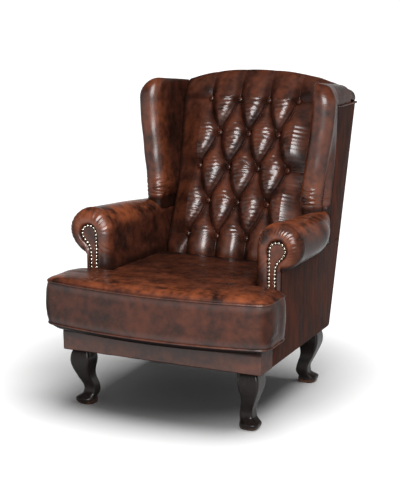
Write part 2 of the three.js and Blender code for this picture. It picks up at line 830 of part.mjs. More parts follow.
// Piping on the outside covers, just under the crest's overhang
function backPiping() {
  const cornerCutShare = 0.15;
  const z = flapHeight - pipingRadius - fitGap;
  const out = bodyHalfWidth + fitGap + pipingRadius;
  const rear = backDepth(z, -(fitGap + pipingRadius + pipingCorner * cornerCutShare));
  const start = wingSeam(z) + wingBoardLead;
  const half = [
    [out, start], [out, (start + rear) / 2], [out, rear - pipingCorner],
    [out - pipingCorner * cornerCutShare, rear - pipingCorner * cornerCutShare], [out - pipingCorner, rear],
  ];
  const path = [...half, ...half.map(([x, y]) => [-x, y]).reverse()];
  const points = path.map(([x, y]) => new THREE.Vector3(x, y, z));
  const sides = 6;
  const rings = points.map((point, i) => {
    const before = points[Math.max(i - 1, 0)];
    const after = points[Math.min(i + 1, points.length - 1)];
    const tangent = after.clone().sub(before).normalize();
    return Array.from({ length: sides }, (_, k) => {
      const turn = k / sides * 2 * Math.PI;
      const reach = pipingRadius * Math.cos(turn);
      return [point.x + tangent.y * reach, point.y - tangent.x * reach, z + pipingRadius * Math.sin(turn)];
    });
  });
  return loft(rings);
}

// Tufted back pad

const edgeColumn = 3;               // the outermost buttons' column
const sideColumns = 2;              // columns from there to the pad's side
const puffShare = 0.6;              // below 1 the puffs are full and their folds narrow
const fallStartShare = 0.4;
const topFallShare = 0.5;

// Height of the leather over the button plane: columns s and rows t are counted in half spacings,
// with t = 0 at the lowest row. Buttons lie where s + t and s - t are both odd.
function tuftHeight(s, t) {
  const row = clamp(t, 0, rowCount - 1);
  const loose = clamp(Math.max(t - (rowCount - 1), -t), 0, 1);
  const side = Math.abs(s);
  const column = side < edgeColumn ? side : edgeColumn + (side - edgeColumn) * loose;
  const a = Math.abs(Math.cos((column + row) * Math.PI / 2)) ** puffShare;
  const b = Math.abs(Math.cos((column - row) * Math.PI / 2)) ** puffShare;
  const puff = puffHeight * a * b + foldHeight * (a + b - a * b);
  const edge = smoothstep(side, edgeColumn + fallStartShare, edgeColumn + sideColumns);
  return lerp(puff, -padEdgeFall * (t > rowCount - 2 ? topFallShare : 1), edge);
}

// The button plane's curve from the seat up to the crest's ridge, as rows of (t, depth, height share)
function padRows(x) {
  const foot = deckTop + fitGap;
  const kneeShare = 1 / 3;
  const rows = [
    { t: -2, y: padFootDepth, z: foot },
    { t: -1, y: padFootDepth, z: lerp(foot, lowestRow, 0.5) },
    { t: -kneeShare, y: padFootDepth, z: lowestRow - kneeShare * buttonRowHeight },
  ];
  for (let i = 0; i <= (rowCount - 1) * stepsPerColumn; i += 1) {
    const t = i / stepsPerColumn;
    rows.push({ t, y: lowestRowDepth + t * buttonRowRun, z: lowestRow + t * buttonRowHeight });
  }
  const calmShare = 0.95;
  const crestShares = [[0.28, 0.16], [0.55, 0.37], [0.81, 0.65], [1, 1]];
  crestShares.forEach(([up, back], i) => {
    rows.push({
      t: rowCount - 1 + (i + 1) / stepsPerColumn,
      y: lerp(topRowDepth, ridgeDepth(x), back),
      z: lerp(topRowHeight, crestTop(x), up),
      calm: 1 - up * calmShare,
    });
  });
  return rows;
}

// Columns in thirds of a half spacing under the tufts, and wider ones beside them
const stepsPerColumn = 3;

function padColumns() {
  const beside = [3.7, edgeColumn + sideColumns];
  const columns = [];
  for (let i = -edgeColumn * stepsPerColumn; i <= edgeColumn * stepsPerColumn; i += 1) {
    columns.push(i / stepsPerColumn);
  }
  return [...beside.map((s) => -s).reverse(), ...columns, ...beside];
}

function columnX(s, z) {
  const reach = Math.min(Math.abs(s), edgeColumn) * halfSpacing;
  const share = Math.max(Math.abs(s) - edgeColumn, 0) / sideColumns;
  return Math.sign(s) * lerp(reach, innerHalf(z) - padSideGap, share);
}

function padFront() {
  const columns = padColumns();
  const hiddenShares = [1, 0.36, 0];
  const rings = columns.map((s) => {
    const rows = padRows(columnX(s, topRowHeight));
    const front = rows.map((row, i) => {
      const before = rows[Math.max(i - 1, 0)];
      const after = rows[Math.min(i + 1, rows.length - 1)];
      const slope = new THREE.Vector2(after.y - before.y, after.z - before.z).normalize();
      const height = tuftHeight(s, row.t) * (row.calm ?? 1);
      const lift = i < 2 ? 0 : slope.x * height;
      return [columnX(s, row.z), row.y - slope.y * height, row.z + lift];
    });
    const behind = hiddenShares.map((share) => lerp(wingFoot, wingShoulder, share));
    const heights = [crestTop(columnX(s, topRowHeight)) - fitGap * 2, ...behind, deckTop + fitGap];
    return [...front, ...heights.map((z) => [columnX(s, z), backDepth(z, padRearInset), z])];
  });
  const rows = padRows(0);
  const foldDistance = (u) => Math.abs(THREE.MathUtils.euclideanModulo(u, 2) - 1);
  return loft(rings, {
    cap: heightCap,
    crossed: (i, j) => {
      const s = columns[i];
      const { t } = rows[Math.min(j, rows.length - 1)];
      return foldDistance(s + t + 1 / stepsPerColumn) < foldDistance(s - t);
    },
  });
}

// The crest's rear half, which wraps over the crest rail and hangs behind the outside back
function crestPad() {
  const sideShares = [[1, 0.5], [0.985, 0.78], [0.95, 1], [0.8, 1], [0.6, 1], [0.4, 1], [0.2, 1]];
  const leftShares = sideShares.map(([along, full]) => [-along, full]);
  const [bellyShare, shoulderShare, leanShare, ridgeShare] = [0.5, 0.83, 0.4, 0.6];
  const front = postFrontInset;
  const rings = [...leftShares, [0, 1], ...sideShares.reverse()].map(([along, full]) => {
    const x = along * crestHalfWidth;
    const rise = (crestTop(x) - flapHeight) * full;
    const top = flapHeight + rise - crestRidgeStep;
    const [low, high] = [flapHeight + rise * bellyShare, flapHeight + rise * shoulderShare];
    return [
      [x, backDepth(flapHeight, -flapOverhang), flapHeight],
      [x, backDepth(low, -flapOverhang), low],
      [x, backDepth(high, flapOverhang * leanShare), high],
      [x, backDepth(top, front * ridgeShare), top],
      [x, backDepth(top, front), top],
      [x, backDepth(flapHeight, front), flapHeight],
    ];
  });
  return cut(loft(rings), [crestRail(fitGap)]);
}

// Places of the buttons, row by row from the seat up
function buttonRow(row) {
  const reach = row % 2 === 0 ? 3 : 2;
  const places = [];
  for (let s = -reach; s <= reach; s += 2) places.push(s * halfSpacing);
  return { xs: places, y: lowestRowDepth + row * buttonRowRun, z: lowestRow + row * buttonRowHeight };
}

function buttonSeat(x, y, z) {
  const pocket = buttonRadius + pocketClearance;
  const hole = shankRadius + shankClearance;
  const [reach, depth] = [buttonSpacing, lowestRowDepth / 2];
  const profile = [[0, -reach], [pocket, -reach], [pocket, 0], [hole, 0], [hole, depth], [0, depth]];
  return turned(profile, buttonSides).translate(x, y, z);
}

function tuftRow(row) {
  const [faceShare, domeShare, rimShare] = [0.65, 0.8, 0.3];
  const { xs, y, z } = buttonRow(row);
  const end = backDepth(z, padRearInset) + fitGap + twineRadius * 2;
  const pieces = xs.map((x) => {
    const profile = [
      [0, -buttonHeight],
      [buttonRadius * faceShare, -buttonHeight * domeShare],
      [buttonRadius, -buttonHeight * rimShare],
      [shankRadius, -fitGap],
      [shankRadius, end - y],
      [0, end - y],
    ];
    return turned(profile, buttonSides).translate(x, y, z);
  });
  const reach = xs.at(-1) + shankRadius;
  const twine = new THREE.CylinderGeometry(twineRadius, twineRadius, reach * 2, 5).rotateZ(Math.PI / 2);
  return join([...pieces, twine.translate(0, end - twineRadius, z)]);
}

function backPad() {
  const seats = [];
  for (let row = 0; row < rowCount; row += 1) {
    const { xs, y, z } = buttonRow(row);
    for (const x of xs) seats.push(buttonSeat(x, y, z));
  }
  return cut(padFront(), seats);
}

// Seat cushion

function arc(cx, cy, radius, from, to, steps) {
  return Array.from({ length: steps + 1 }, (_, i) => {
    const turn = THREE.MathUtils.degToRad(lerp(from, to, i / steps));
    return [cx + radius * Math.cos(turn), cy + radius * Math.sin(turn)];
  });
}

// T-shaped outline seen from above, counter-clockwise, moved outward by a margin
function cushionOutline(margin = 0) {
  const wide = cushionHalfWidth + margin;
  const body = cushionBodyHalf + margin;
  const front = cushionFront - margin;
  const ear = earRear + margin;
  const rear = cushionRear + margin;
  const corner = cushionCorner + margin;
  const rearCorner = cushionRearCorner + margin;
  const bow = (x) => front - cushionBow * (1 - (x / (wide - corner)) ** 2);
  const frontShares = [0.25, 0.5, 0.75];
  const [earShare, bodyShares, rearShare] = [0.6, [0.3, 0.65], 0.45];
  const half = [
    ...frontShares.map((share) => [share * (wide - corner), bow(share * (wide - corner))]),
    ...arc(wide - corner, front + corner, corner, -90, 0, 4),
    [wide, lerp(front + corner, ear - earCorner, earShare)],
    ...arc(wide - earCorner, ear - earCorner, earCorner, 0, 90, 3),
    [(wide + body) / 2, ear],
    ...arc(body + stemCorner, ear + stemCorner, stemCorner, 270, 180, 2),
    ...bodyShares.map((share) => [body, lerp(ear + stemCorner, rear - rearCorner, share)]),
    ...arc(body - rearCorner, rear - rearCorner, rearCorner, 0, 90, 3),
    [body * rearShare, rear],
  ];
  const other = half.map(([x, y]) => [-x, y]).reverse();
  return [[0, bow(0)], ...half, [0, rear], ...other];
}

const heartShare = 0.84;
const cushionHeart = [0, earRear * heartShare];

// The zip lies along the border's widest line, halfway up
const zipHeight = (cushionBottomSeam + cushionTopSeam) / 2;

// Height of the cushion's top seam, a little lower at the rear
function topSeam(y) {
  return cushionTopSeam - cushionRearFall * clamp(y / cushionRear, 0, 1);
}

// The cushion's form, moved inward by an inset: crowned top, drawn-in seams, belly, flat rest
function cushionForm(inset = 0) {
  const seamRing = cushionOutline(-inset);
  const belly = cushionOutline(cushionBelly - inset);
  const shrink = (ring, share, height) => ring.map(([x, y]) => [
    lerp(cushionHeart[0], x, share), lerp(cushionHeart[1], y, share), height(y),
  ]);
  const rest = deckTop + fitGap * 2 + inset;
  const crown = (share) => (y) => topSeam(y) + cushionCrown * share - inset;
  const [restShare, heelShares, crownShares] = [0.84, [0.94, 0.3], [[0.95, 0.5], [0.82, 0.86], [0.5, 1]]];
  const rings = [
    shrink(seamRing, restShare, () => rest),
    shrink(seamRing, heelShares[0], () => lerp(rest, cushionBottomSeam, heelShares[1])),
    shrink(seamRing, 1, () => cushionBottomSeam + inset / 2),
    shrink(belly, 1, () => zipHeight),
    shrink(seamRing, 1, (y) => topSeam(y) - inset),
    ...crownShares.map(([inward, up]) => shrink(seamRing, inward, crown(up))),
  ];
  return loft(rings, { cap: (ring) => fanCap(ring, [...cushionHeart, middleOf(ring)[2]]) });
}

function zipSlot() {
  const [inside, outside] = [cushionRear - coverThickness - zipSliderDepth, cushionRear + overrun];
  return box(
    [-zipHalfLength, inside, zipHeight - zipHalfHeight],
    [zipHalfLength, outside, zipHeight + zipHalfHeight]);
}

function cushionCover() {
  return cut(cushionForm(), [cushionForm(coverThickness), zipSlot()]);
}

function cushionZip() {
  const [half, tall] = [zipHalfLength - fitGap, zipHalfHeight - fitGap];
  const [inside, outside] = [cushionRear + cushionBelly - coverThickness, cushionRear + cushionBelly];
  const tape = box([-half, inside, zipHeight - tall], [half, outside, zipHeight + tall]);
  const slider = box(
    [half - zipSliderLength, inside, zipHeight - tall / 2],
    [half - fitGap, outside + zipSliderDepth, zipHeight + tall / 2]);
  return join([tape, slider]);
}

function cushionPiping(height) {
  return closedPiping(cushionOutline().map(([x, y]) => [x, y, height(y)]), pipingRadius);
}

// Legs

// Rings down the leg: height share, how far the outer corner moves outward, and width share
function leg() {
  const shapeShares = [
    [1, 0, 1], [0.924, 0.11, 1.13], [0.82, 0.18, 1.26], [0.71, 0.145, 1.2], [0.633, 0.065, 1.07],
    [0.555, -0.045, 0.93], [0.454, -0.19, 0.82], [0.379, -0.31, 0.77], [0.304, -0.4, 0.74],
    [0.232, -0.4, 0.77], [0.18, -0.33, 0.84], [0.135, -0.13, 1], [0.106, 0.03, 1.13],
    [0.07, 0.04, 1.15], [0.031, -0.02, 1.09], [0, -0.11, 0.97],
  ];
  const [padFootShare, footRoundShare, legRoundShare] = [0.2, 0.36, 0.16];
  const rings = shapeShares.map(([up, out, wide]) => {
    const width = kneeWidth * wide;
    const outer = legInset - kneeWidth * out;
    const [cx, cy] = [bodyHalfWidth - outer - width / 2, outer + width / 2];
    const round = up < padFootShare ? footRoundShare : legRoundShare;
    return roundedSquare(width, width * round).map(([x, y]) => [cx + x, cy + y, lerp(floorHeight, legHeight, up)]);
  });
  const block = box(
    [bodyHalfWidth - legInset - kneeWidth - legBlockReachX, legInset + fitGap, legHeight - legBlockHeight],
    [bodyHalfWidth - legInset - kneeWidth / 2, legInset + kneeWidth + legBlockReachY, legHeight]);
  const bolt = boltHole(legHeight - boltInLeg - boltClearance, legHeight + overrun);
  return cut(join([loft(rings), block]), [bolt]);
}

function roundedSquare(width, radius) {
  const side = width / 2 - radius;
  return [0, 90, 180, 270].flatMap((turn) => {
    const angle = THREE.MathUtils.degToRad(turn + 45);
    const centre = [Math.sign(Math.cos(angle)) * side, Math.sign(Math.sin(angle)) * side];
    return arc(centre[0], centre[1], radius, turn, turn + 90, 2);
  });
}

// Assembly

const leather = new THREE.MeshStandardMaterial({ color: 0x4a1d12, roughness: 0.32, metalness: 0 });
const darkWood = new THREE.MeshStandardMaterial({ color: 0x16100e, roughness: 0.4, metalness: 0 });
const frameWood = new THREE.MeshStandardMaterial({ color: 0xb88f5c, roughness: 0.8, metalness: 0 });
const steel = new THREE.MeshStandardMaterial({ color: 0x8a8d90, roughness: 0.4, metalness: 1 });
const nailMetal = new THREE.MeshStandardMaterial({ color: 0xb9a888, roughness: 0.3, metalness: 1 });
const hessian = new THREE.MeshStandardMaterial({ color: 0x1b1b1c, roughness: 0.95, metalness: 0 });
const foam = new THREE.MeshStandardMaterial({ color: 0xe6dcc0, roughness: 0.95, metalness: 0 });

const chair = new THREE.Group();

function add(name, geometry, look) {
  const mesh = new THREE.Mesh(geometry, look.clone());
  mesh.name = name;
  chair.add(mesh);
}

function addPair(name, geometry, look) {
  add(`${name}_left`, geometry, look);
  add(`${name}_right`, mirrored(geometry), look);
}

add('front_rail', frontRail(), frameWood);
add('rear_rail', rearRail(), frameWood);
addPair('side_rail', sideRail(), frameWood);
addPair('corner_block_front', cut(cornerBlock(), [blockHole()]), frameWood);
const rearBlock = cut(atRear(cornerBlock(), blockRearFace), [atRear(blockHole(), baseDepth)]);
addPair('corner_block_rear', rearBlock, frameWood);
for (const [name, geometry, look] of [['leg', leg(), darkWood], ['leg_bolt', legBolt(), steel]]) {
  addPair(`${name}_front`, geometry, look);
  addPair(`${name}_rear`, atRear(geometry, baseDepth), look);
}
addPair('back_post', backPost(), frameWood);
add('back_stretcher', backStretcher(), frameWood);
add('crest_rail', crestRail(), frameWood);
addPair('arm_stump', armStump(), frameWood);
addPair('arm_rail', armRail(), frameWood);
addPair('wing_board', wingBoard(), frameWood);
for (let i = 0; i < springCount; i += 1) {
  const x = lerp(-springHalfSpread, springHalfSpread, i / (springCount - 1));
  add(`seat_spring_${i + 1}`, seatSpring(x), steel);
}
add('seat_deck', seatDeck(), hessian);
add('dust_cover', dustCover(), hessian);
add('back_pad', backPad(), leather);
add('crest_pad', crestPad(), leather);
for (let row = 0; row < rowCount; row += 1) add(`tuft_row_${row + 1}`, tuftRow(row), leather);
addPair('arm_pad', cutArmPad(), leather);
addPair('wing_pad', cutWingPad(), leather);
addPair('arm_facing', armFacing(), leather);
addPair('nail_trim', nailTrim(), nailMetal);
add('front_border', frontBorder(), leather);
addPair('outside_arm', outsideArm(), leather);
addPair('outside_wing', outsideWing(), leather);
add('outside_back', outsideBack(), leather);
add('back_piping', backPiping(), leather);
add('cushion_cover', cushionCover(), leather);
add('cushion_core', cushionForm(coverThickness + fitGap), foam);
add('cushion_zip', cushionZip(), steel);
add('cushion_piping_top', cushionPiping(topSeam), leather);
add('cushion_piping_bottom', cushionPiping(() => cushionBottomSeam), leather);

// The origin is on the floor, under the middle of the chair's box
const reach = new THREE.Box3().setFromObject(chair);
chair.position.y = -(reach.min.y + reach.max.y) / 2;
chair.position.z = -floorHeight;
chair.updateMatrixWorld(true);

export default chair;
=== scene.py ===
import json
import math

import bpy
import numpy as np
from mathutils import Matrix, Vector

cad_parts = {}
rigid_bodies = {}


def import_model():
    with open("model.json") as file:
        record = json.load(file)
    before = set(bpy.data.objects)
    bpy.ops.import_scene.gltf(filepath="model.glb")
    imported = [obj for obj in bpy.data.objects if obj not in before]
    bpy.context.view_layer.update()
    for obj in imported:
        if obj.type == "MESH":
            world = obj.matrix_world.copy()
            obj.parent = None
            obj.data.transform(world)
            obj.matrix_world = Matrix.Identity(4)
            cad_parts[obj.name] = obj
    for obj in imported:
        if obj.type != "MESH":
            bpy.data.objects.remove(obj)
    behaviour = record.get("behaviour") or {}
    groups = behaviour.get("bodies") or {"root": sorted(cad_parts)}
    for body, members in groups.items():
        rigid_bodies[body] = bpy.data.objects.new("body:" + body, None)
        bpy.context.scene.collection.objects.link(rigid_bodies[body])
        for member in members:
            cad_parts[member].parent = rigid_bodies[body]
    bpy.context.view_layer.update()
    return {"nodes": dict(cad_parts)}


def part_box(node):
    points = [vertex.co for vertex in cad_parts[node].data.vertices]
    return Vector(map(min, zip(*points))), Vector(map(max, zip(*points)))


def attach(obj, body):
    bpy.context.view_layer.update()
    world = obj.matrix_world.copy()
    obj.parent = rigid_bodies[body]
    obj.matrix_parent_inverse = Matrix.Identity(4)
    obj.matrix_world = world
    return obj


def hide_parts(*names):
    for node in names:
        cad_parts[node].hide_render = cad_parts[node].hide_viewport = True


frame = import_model()

# Sizes of the whole chair, taken from the frame. Depths are counted from the front border's face,
# and heights from a little above the floor.
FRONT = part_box("front_border")[0].y
LEG_TOP = 0.1827
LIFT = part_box("leg_front_left")[1].z - LEG_TOP
BODY_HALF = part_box("front_border")[1].x
RAIL_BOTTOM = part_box("front_border")[0].z - LIFT
DECK_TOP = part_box("front_border")[1].z - LIFT
BACK_RAKE = math.radians(16.9)
SKIN = 0.0063                        # an outside cover with its board and wadding
BASE_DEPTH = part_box("outside_back")[0].y - FRONT + SKIN * math.cos(BACK_RAKE)
CREST_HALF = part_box("crest_pad")[1].x
CREST_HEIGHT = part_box("crest_pad")[1].z - LIFT + 0.001
CREST_FALL = 0.064                   # how much lower the crest is at its two ends
CREST_POWER = 2.4                    # above 2 the crest is flatter in its middle
FLAP_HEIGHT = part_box("crest_pad")[0].z - LIFT
FLAP_OVERHANG = 0.008
GAP = 0.0003
HIDDEN_INSET = 0.0015                # how far leather lies back where a panel covers it

# Tufted back: rows are counted from the lowest buttons, and columns in half spacings from the middle
BUTTON_ROWS = 5
LAST_ROW = BUTTON_ROWS - 1
BUTTON_SPACING = 0.113
HALF_SPACING = BUTTON_SPACING / 2
ROW_LENGTH = 0.1225                  # one row of buttons to the next, along the raked back
EDGE_COLUMN = 3                      # the outermost buttons' column
SIDE_COLUMNS = 2                     # columns from there to the pad's side
CREST_ROWS = 4 / 3                   # rows from the top buttons to the crest's ridge
COLUMN_STEP = 1 / 28
ROW_STEP = 1 / 64
FOOT_ROW_STEP = 1 / 8
LOWEST_ROW = 0.478
TOP_ROW = CREST_HEIGHT - 0.104
LOWEST_ROW_INSET = 0.1403
TOP_ROW_INSET = 0.0819
PAD_REAR_INSET = 0.042
PAD_FOOT_LEAD = 0.0165
PAD_SIDE_GAP = 0.0025
RIDGE_LEAD = 0.010
PUFF_HEIGHT = 0.032
PUFF_UNEVENNESS = 0.08
PUFF_WRINKLE = 0.0007
FOLD_HEIGHT = 0.006
FOLD_SAG = 0.10                      # how far the folds hang down between buttons, in rows
FOLD_SWAY = 0.03
LAP = 0.0030                         # a puff's edge over the fold below it
LAP_ACROSS, LAP_DOWN = 0.914, 0.405
PUCKER = 0.0006
PIT_DEPTH = 0.002
EDGE_START = 0.2                     # columns from the outermost buttons to where the pad falls back
EDGE_FALL = 0.014
BUTTON_RADIUS = 0.0102
BUTTON_HEIGHT = 0.0075
BUTTON_LIFT = 0.003
BUTTON_TURNS = 28
BUTTON_PROFILE = [(0.3, 0.97), (0.55, 0.86), (0.76, 0.66), (0.9, 0.4), (0.98, 0.12), (1.0, -0.15), (0.88, -0.4)]

# Arms
ARM_INNER = BODY_HALF - 0.096
ARM_SHOULDER = 0.008
ARM_FRONT = 0.160                    # front of the facing
ARM_LAP = 0.016                      # how far the leather bulges forward round the facing
ARM_BOTTOM = DECK_TOP - 0.008
FACING = 0.008
ARM_CENTRE_X = BODY_HALF - 0.017
ARM_CENTRE_Z = 0.550
ARM_ROLL_HEIGHT = 0.077
ARM_ROLL_REACH = 0.084
ARM_TOP_FALL = 0.036
ARM_ROLL_END = 0.640
ARM_FRONT_ROUND = 0.020
ARM_UNDERSIDE = 0.481
ARM_GATHER = 0.0010
ARM_REAR_INSET = SKIN + 0.035 + 2 * GAP
ARM_TURNS = np.linspace(180, -58, 48)
OUTSIDE_SEAM = 0.4814
RING_POINTS = 300

# The nose round the facing: how full the section is, and how far forward it lies as a share of the lap
NOSE_FULL = [0, 0, 0.05, 0.2, 0.4, 0.62, 0.82, 0.94, 1]
NOSE_LEAD = [0, 0.4, 0.72, 0.98, 1, 0.76, 0.22, -0.45, -ARM_FRONT_ROUND / ARM_LAP]

# Scroll of the arm's front, along the middle of its nails
SCROLL_INNER = BODY_HALF - 0.040
SCROLL_OUTER = SCROLL_INNER + 0.019
SCROLL_HEAD_X = BODY_HALF - 0.0135
SCROLL_HEAD_Z = 0.541
SCROLL_HEAD_RADIUS = 0.0265
SCROLL_THROAT_X = BODY_HALF - 0.016
SCROLL_THROAT_Z = 0.500
SCROLL_NECK_Z = 0.484
FACING_MARGIN = 0.005
FACING_PROFILE = [(0, FACING), (0, 0.001), (0.04, 0), (0.15, -0.0006), (0.35, -0.0012), (0.6, -0.0020),
                  (0.96, -0.0024)]   # share of the way inward, and depth behind the arm's front

# Nails on their band
BAND_BOTTOM = 0.300
BAND_HALF_WIDTH = 0.0046
BAND_THICKNESS = 0.0012
BAND_POINTS = 260
BAND_PROFILE = [(0.0, 0.0), (0.0, 0.8), (0.15, 1.0), (0.5, 1.05), (0.85, 1.0), (1.0, 0.8), (1.0, 0.0)]
NAIL_SPACING = 0.0122
NAIL_RADIUS = 0.0050
NAIL_DOME = 0.0034
NAIL_TURNS = 16
NAIL_PROFILE = [(0.35, 0.94), (0.65, 0.74), (0.88, 0.42), (1.0, 0.05), (1.0, -0.25)]

# Wings. A pair holds the values at the wing's foot and at its shoulder.
WING_TOP = CREST_HEIGHT - 0.020
WING_CORNER_HEIGHT = 0.072
WING_SHOULDER = WING_TOP - WING_CORNER_HEIGHT
WING_FOOT = 0.600
WING_CORNER_WIDTH = 0.066
WING_FRONT_ROUND = 0.045
WING_INNER_ROUND = 0.006
WING_TOP_FALL = 0.023
WING_INNER_HIGH = BODY_HALF - 0.066
WING_ROLL_INSET = (0.057, 0.024)
WING_ROLL_DEPTH = (0.586, 0.602)
WING_ROLL_RADIUS = (0.038, 0.041)
WING_TUCK = 0.012                    # how far the inner face is drawn in at the foot
WING_CREASE = 0.0016
WING_WAVE = 0.0007
WING_SEAM_DEPTHS = [(WING_FOOT, 0.622), (0.766, 0.662), (FLAP_HEIGHT, 0.680)]

# Seat cushion
CUSHION_HALF = BODY_HALF + 0.038
CUSHION_BODY_HALF = ARM_INNER - 0.008
CUSHION_FRONT = -0.052
CUSHION_BOW = 0.038
CUSHION_REAR = 0.510
EAR_REAR = ARM_FRONT - 0.032
CUSHION_CORNER = 0.042
REAR_CORNER = 0.030
EAR_CORNER = 0.042
STEM_CORNER = 0.014
TOP_SEAM = 0.418
BOTTOM_SEAM = 0.279
CUSHION_CROWN = 0.020
CUSHION_REAR_FALL = 0.005
CUSHION_BELLY = 0.0055
CUSHION_CREASE = 0.0012
CUSHION_SWELL = 0.0020
CUSHION_FOLD = 0.0016
CUSHION_POINTS = 520
UNDERSIDE_RINGS = [(0.45, 0), (0.7, 0), (0.84, 0), (0.9, 0.05), (0.94, 0.25), (0.975, 0.62)]
BORDER_RINGS = 26

# Piping and the front border's leather
PIPING_RADIUS = 0.0035
PIPING_SIDES = 14
PIPING_CORNER = 0.006
BORDER_CORNER = 0.006
BORDER_RETURN = 0.096                # depth of its ends along the chair's sides
BORDER_SWELL = 0.0012
PANEL_ROUNDING = 0.003
PANEL_LIFT = 0.0004

# Legs
LEG_INSET = 0.0243                   # outside faces to the leg's outer corner, at its top
KNEE = 0.056
EAR_HEIGHT = 0.043
EAR_ROOT = 0.020                     # how far a block reaches into the knee
SIDE_EAR_REACH = 0.0275
FRONT_EAR_REACH = 0.0095
EAR_POINTS = 90

# Rings down the leg: height share, how far the outer corner moves outward, and width share
LEG_SHAPE = [
    (1, 0, 1), (0.924, 0.11, 1.13), (0.82, 0.18, 1.26), (0.71, 0.145, 1.2), (0.633, 0.065, 1.07),
    (0.555, -0.045, 0.93), (0.454, -0.19, 0.82), (0.379, -0.31, 0.77), (0.304, -0.4, 0.74),
    (0.232, -0.4, 0.77), (0.18, -0.33, 0.84), (0.135, -0.13, 1), (0.106, 0.03, 1.13),
    (0.07, 0.04, 1.15), (0.031, -0.02, 1.09), (0, -0.11, 0.97),
]

# Floor, light and camera
FLOOR_REACH = 300
GLOW_CENTRE = (-0.15, 0.16, 0)       # the floor is brightened from some way round here
GLOW_FROM, GLOW_TO = 0.46, 0.86
GLOW = 0.36
ROOM_LIGHT = 0.12
BAND_TOP = (0.20, 0.32)              # rise of the view where the white band fades out
CAMERA_AZIMUTH = 24.987
CAMERA_ELEVATION = 12.195
CAMERA_DISTANCE = 4.188
CAMERA_LENS = 88.284
CAMERA_TARGET = (-0.03534, FRONT + 0.390, LIFT + 0.46666)


# Numbers and curves

def lerp(a, b, share):
    return a + (b - a) * share


def smoothstep(value, low, high):
    share = np.clip((value - low) / (high - low), 0, 1)
    return share * share * (3 - 2 * share)


def below(value, low, high):
    """1 up to low, easing to 0 at high."""
    return smoothstep(-value, -high, -low)


def bell(value, centre, width):
    """1 at centre and next to nothing two widths away."""
    return np.exp(-((value - centre) / width) ** 2)


def through(keys, values, at):
    """A smooth curve through values at keys, straight outside them."""
    slopes = np.gradient(np.array(values, float), np.array(keys, float))
    place = np.clip(np.searchsorted(keys, at, side="right") - 1, 0, len(keys) - 2)
    keys, values = np.array(keys, float), np.array(values, float)
    width = keys[place + 1] - keys[place]
    q = (at - keys[place]) / width
    inside = np.clip(q, 0, 1)
    rise = inside * inside * (3 - 2 * inside)
    lead = inside * (1 - inside) ** 2 * slopes[place] * width
    trail = inside ** 2 * (inside - 1) * slopes[place + 1] * width
    return lerp(values[place], values[place + 1], rise) + lead + trail


def wander(points, wavelength, seed):
    """Smooth noise at points, mostly between -1 and 1: seeded sine waves in mixed directions."""
    random = np.random.default_rng(seed)
    waves = 9
    total = np.zeros(points.shape[:-1])
    for _ in range(waves):
        direction = random.normal(size=points.shape[-1])
        direction *= 2 * math.pi / (wavelength * random.uniform(0.7, 1.5) * np.linalg.norm(direction))
        total += np.sin(points @ direction + random.uniform(0, 2 * math.pi))
    return total / math.sqrt(waves)


def arc(cx, cy, radius, turns):
    angle = np.radians(turns)
    return np.stack([cx + radius * np.cos(angle), cy + radius * np.sin(angle)], axis=-1)


def path_lengths(path):
    """Distance along a path at each of its points."""
    return np.concatenate([[0], np.cumsum(np.linalg.norm(np.diff(path, axis=0), axis=1))])


def points_at(path, at):
    """Points of a path at distances along it."""
    lengths = path_lengths(path)
    return np.stack([np.interp(at, lengths, column) for column in path.T], axis=-1)


def spread(path, count):
    """Evenly spaced points along an open path, its ends included."""
    return points_at(path, np.linspace(0, path_lengths(path)[-1], count))


def ring_of(outline, count, rounding=0):
    """A closed outline as evenly spaced points from its first one, rounded by averaging neighbours."""
    outline = np.asarray(outline, float)
    closed = np.vstack([outline, outline[:1]])
    ring = points_at(closed, np.linspace(0, path_lengths(closed)[-1], count, endpoint=False))
    for _ in range(rounding):
        ring = (np.roll(ring, 1, axis=0) + ring * 2 + np.roll(ring, -1, axis=0)) / 4
    return ring


def at_side(outline, x):
    """Points of an outline seen from the side, some way across."""
    return np.column_stack([np.full(len(outline), x), outline])


def at_depth(outline, y):
    """Points of an outline seen from the front, at a depth."""
    return np.column_stack([outline[:, 0], np.full(len(outline), y), outline[:, 1]])


def at_height(outline, z):
    """Points of an outline seen from above, at a height."""
    return np.column_stack([outline, np.full(len(outline), z)])


def back_depth(z, inset):
    """Depth of the raked back plane at a height, some way in from the outside back."""
    return BASE_DEPTH + (z - RAIL_BOTTOM) * math.tan(BACK_RAKE) - inset / math.cos(BACK_RAKE)


def crest_top(x):
    return CREST_HEIGHT - CREST_FALL * np.abs(x / CREST_HALF) ** CREST_POWER


def inner_half(z):
    """Inner face of an arm, and of the wing above it, which flares outward."""
    return lerp(ARM_INNER, WING_INNER_HIGH, smoothstep(z, WING_FOOT, WING_SHOULDER))


# Meshes

def grid_normals(grid, closed=False):
    """Unit normals of a grid of points, from its rows and columns."""
    if closed:
        across = np.roll(grid, -1, axis=1) - np.roll(grid, 1, axis=1)
    else:
        across = np.gradient(grid, axis=1)
    normals = np.cross(across, np.gradient(grid, axis=0))
    return normals / np.maximum(np.linalg.norm(normals, axis=-1, keepdims=True), 1e-12)


def outward_normals(rings):
    """Unit normals of a closed form's rings, turned to point out of it."""
    normals = grid_normals(rings, True)
    out = rings - rings.mean(axis=1, keepdims=True)
    return normals * np.sign(np.sum(normals * out))


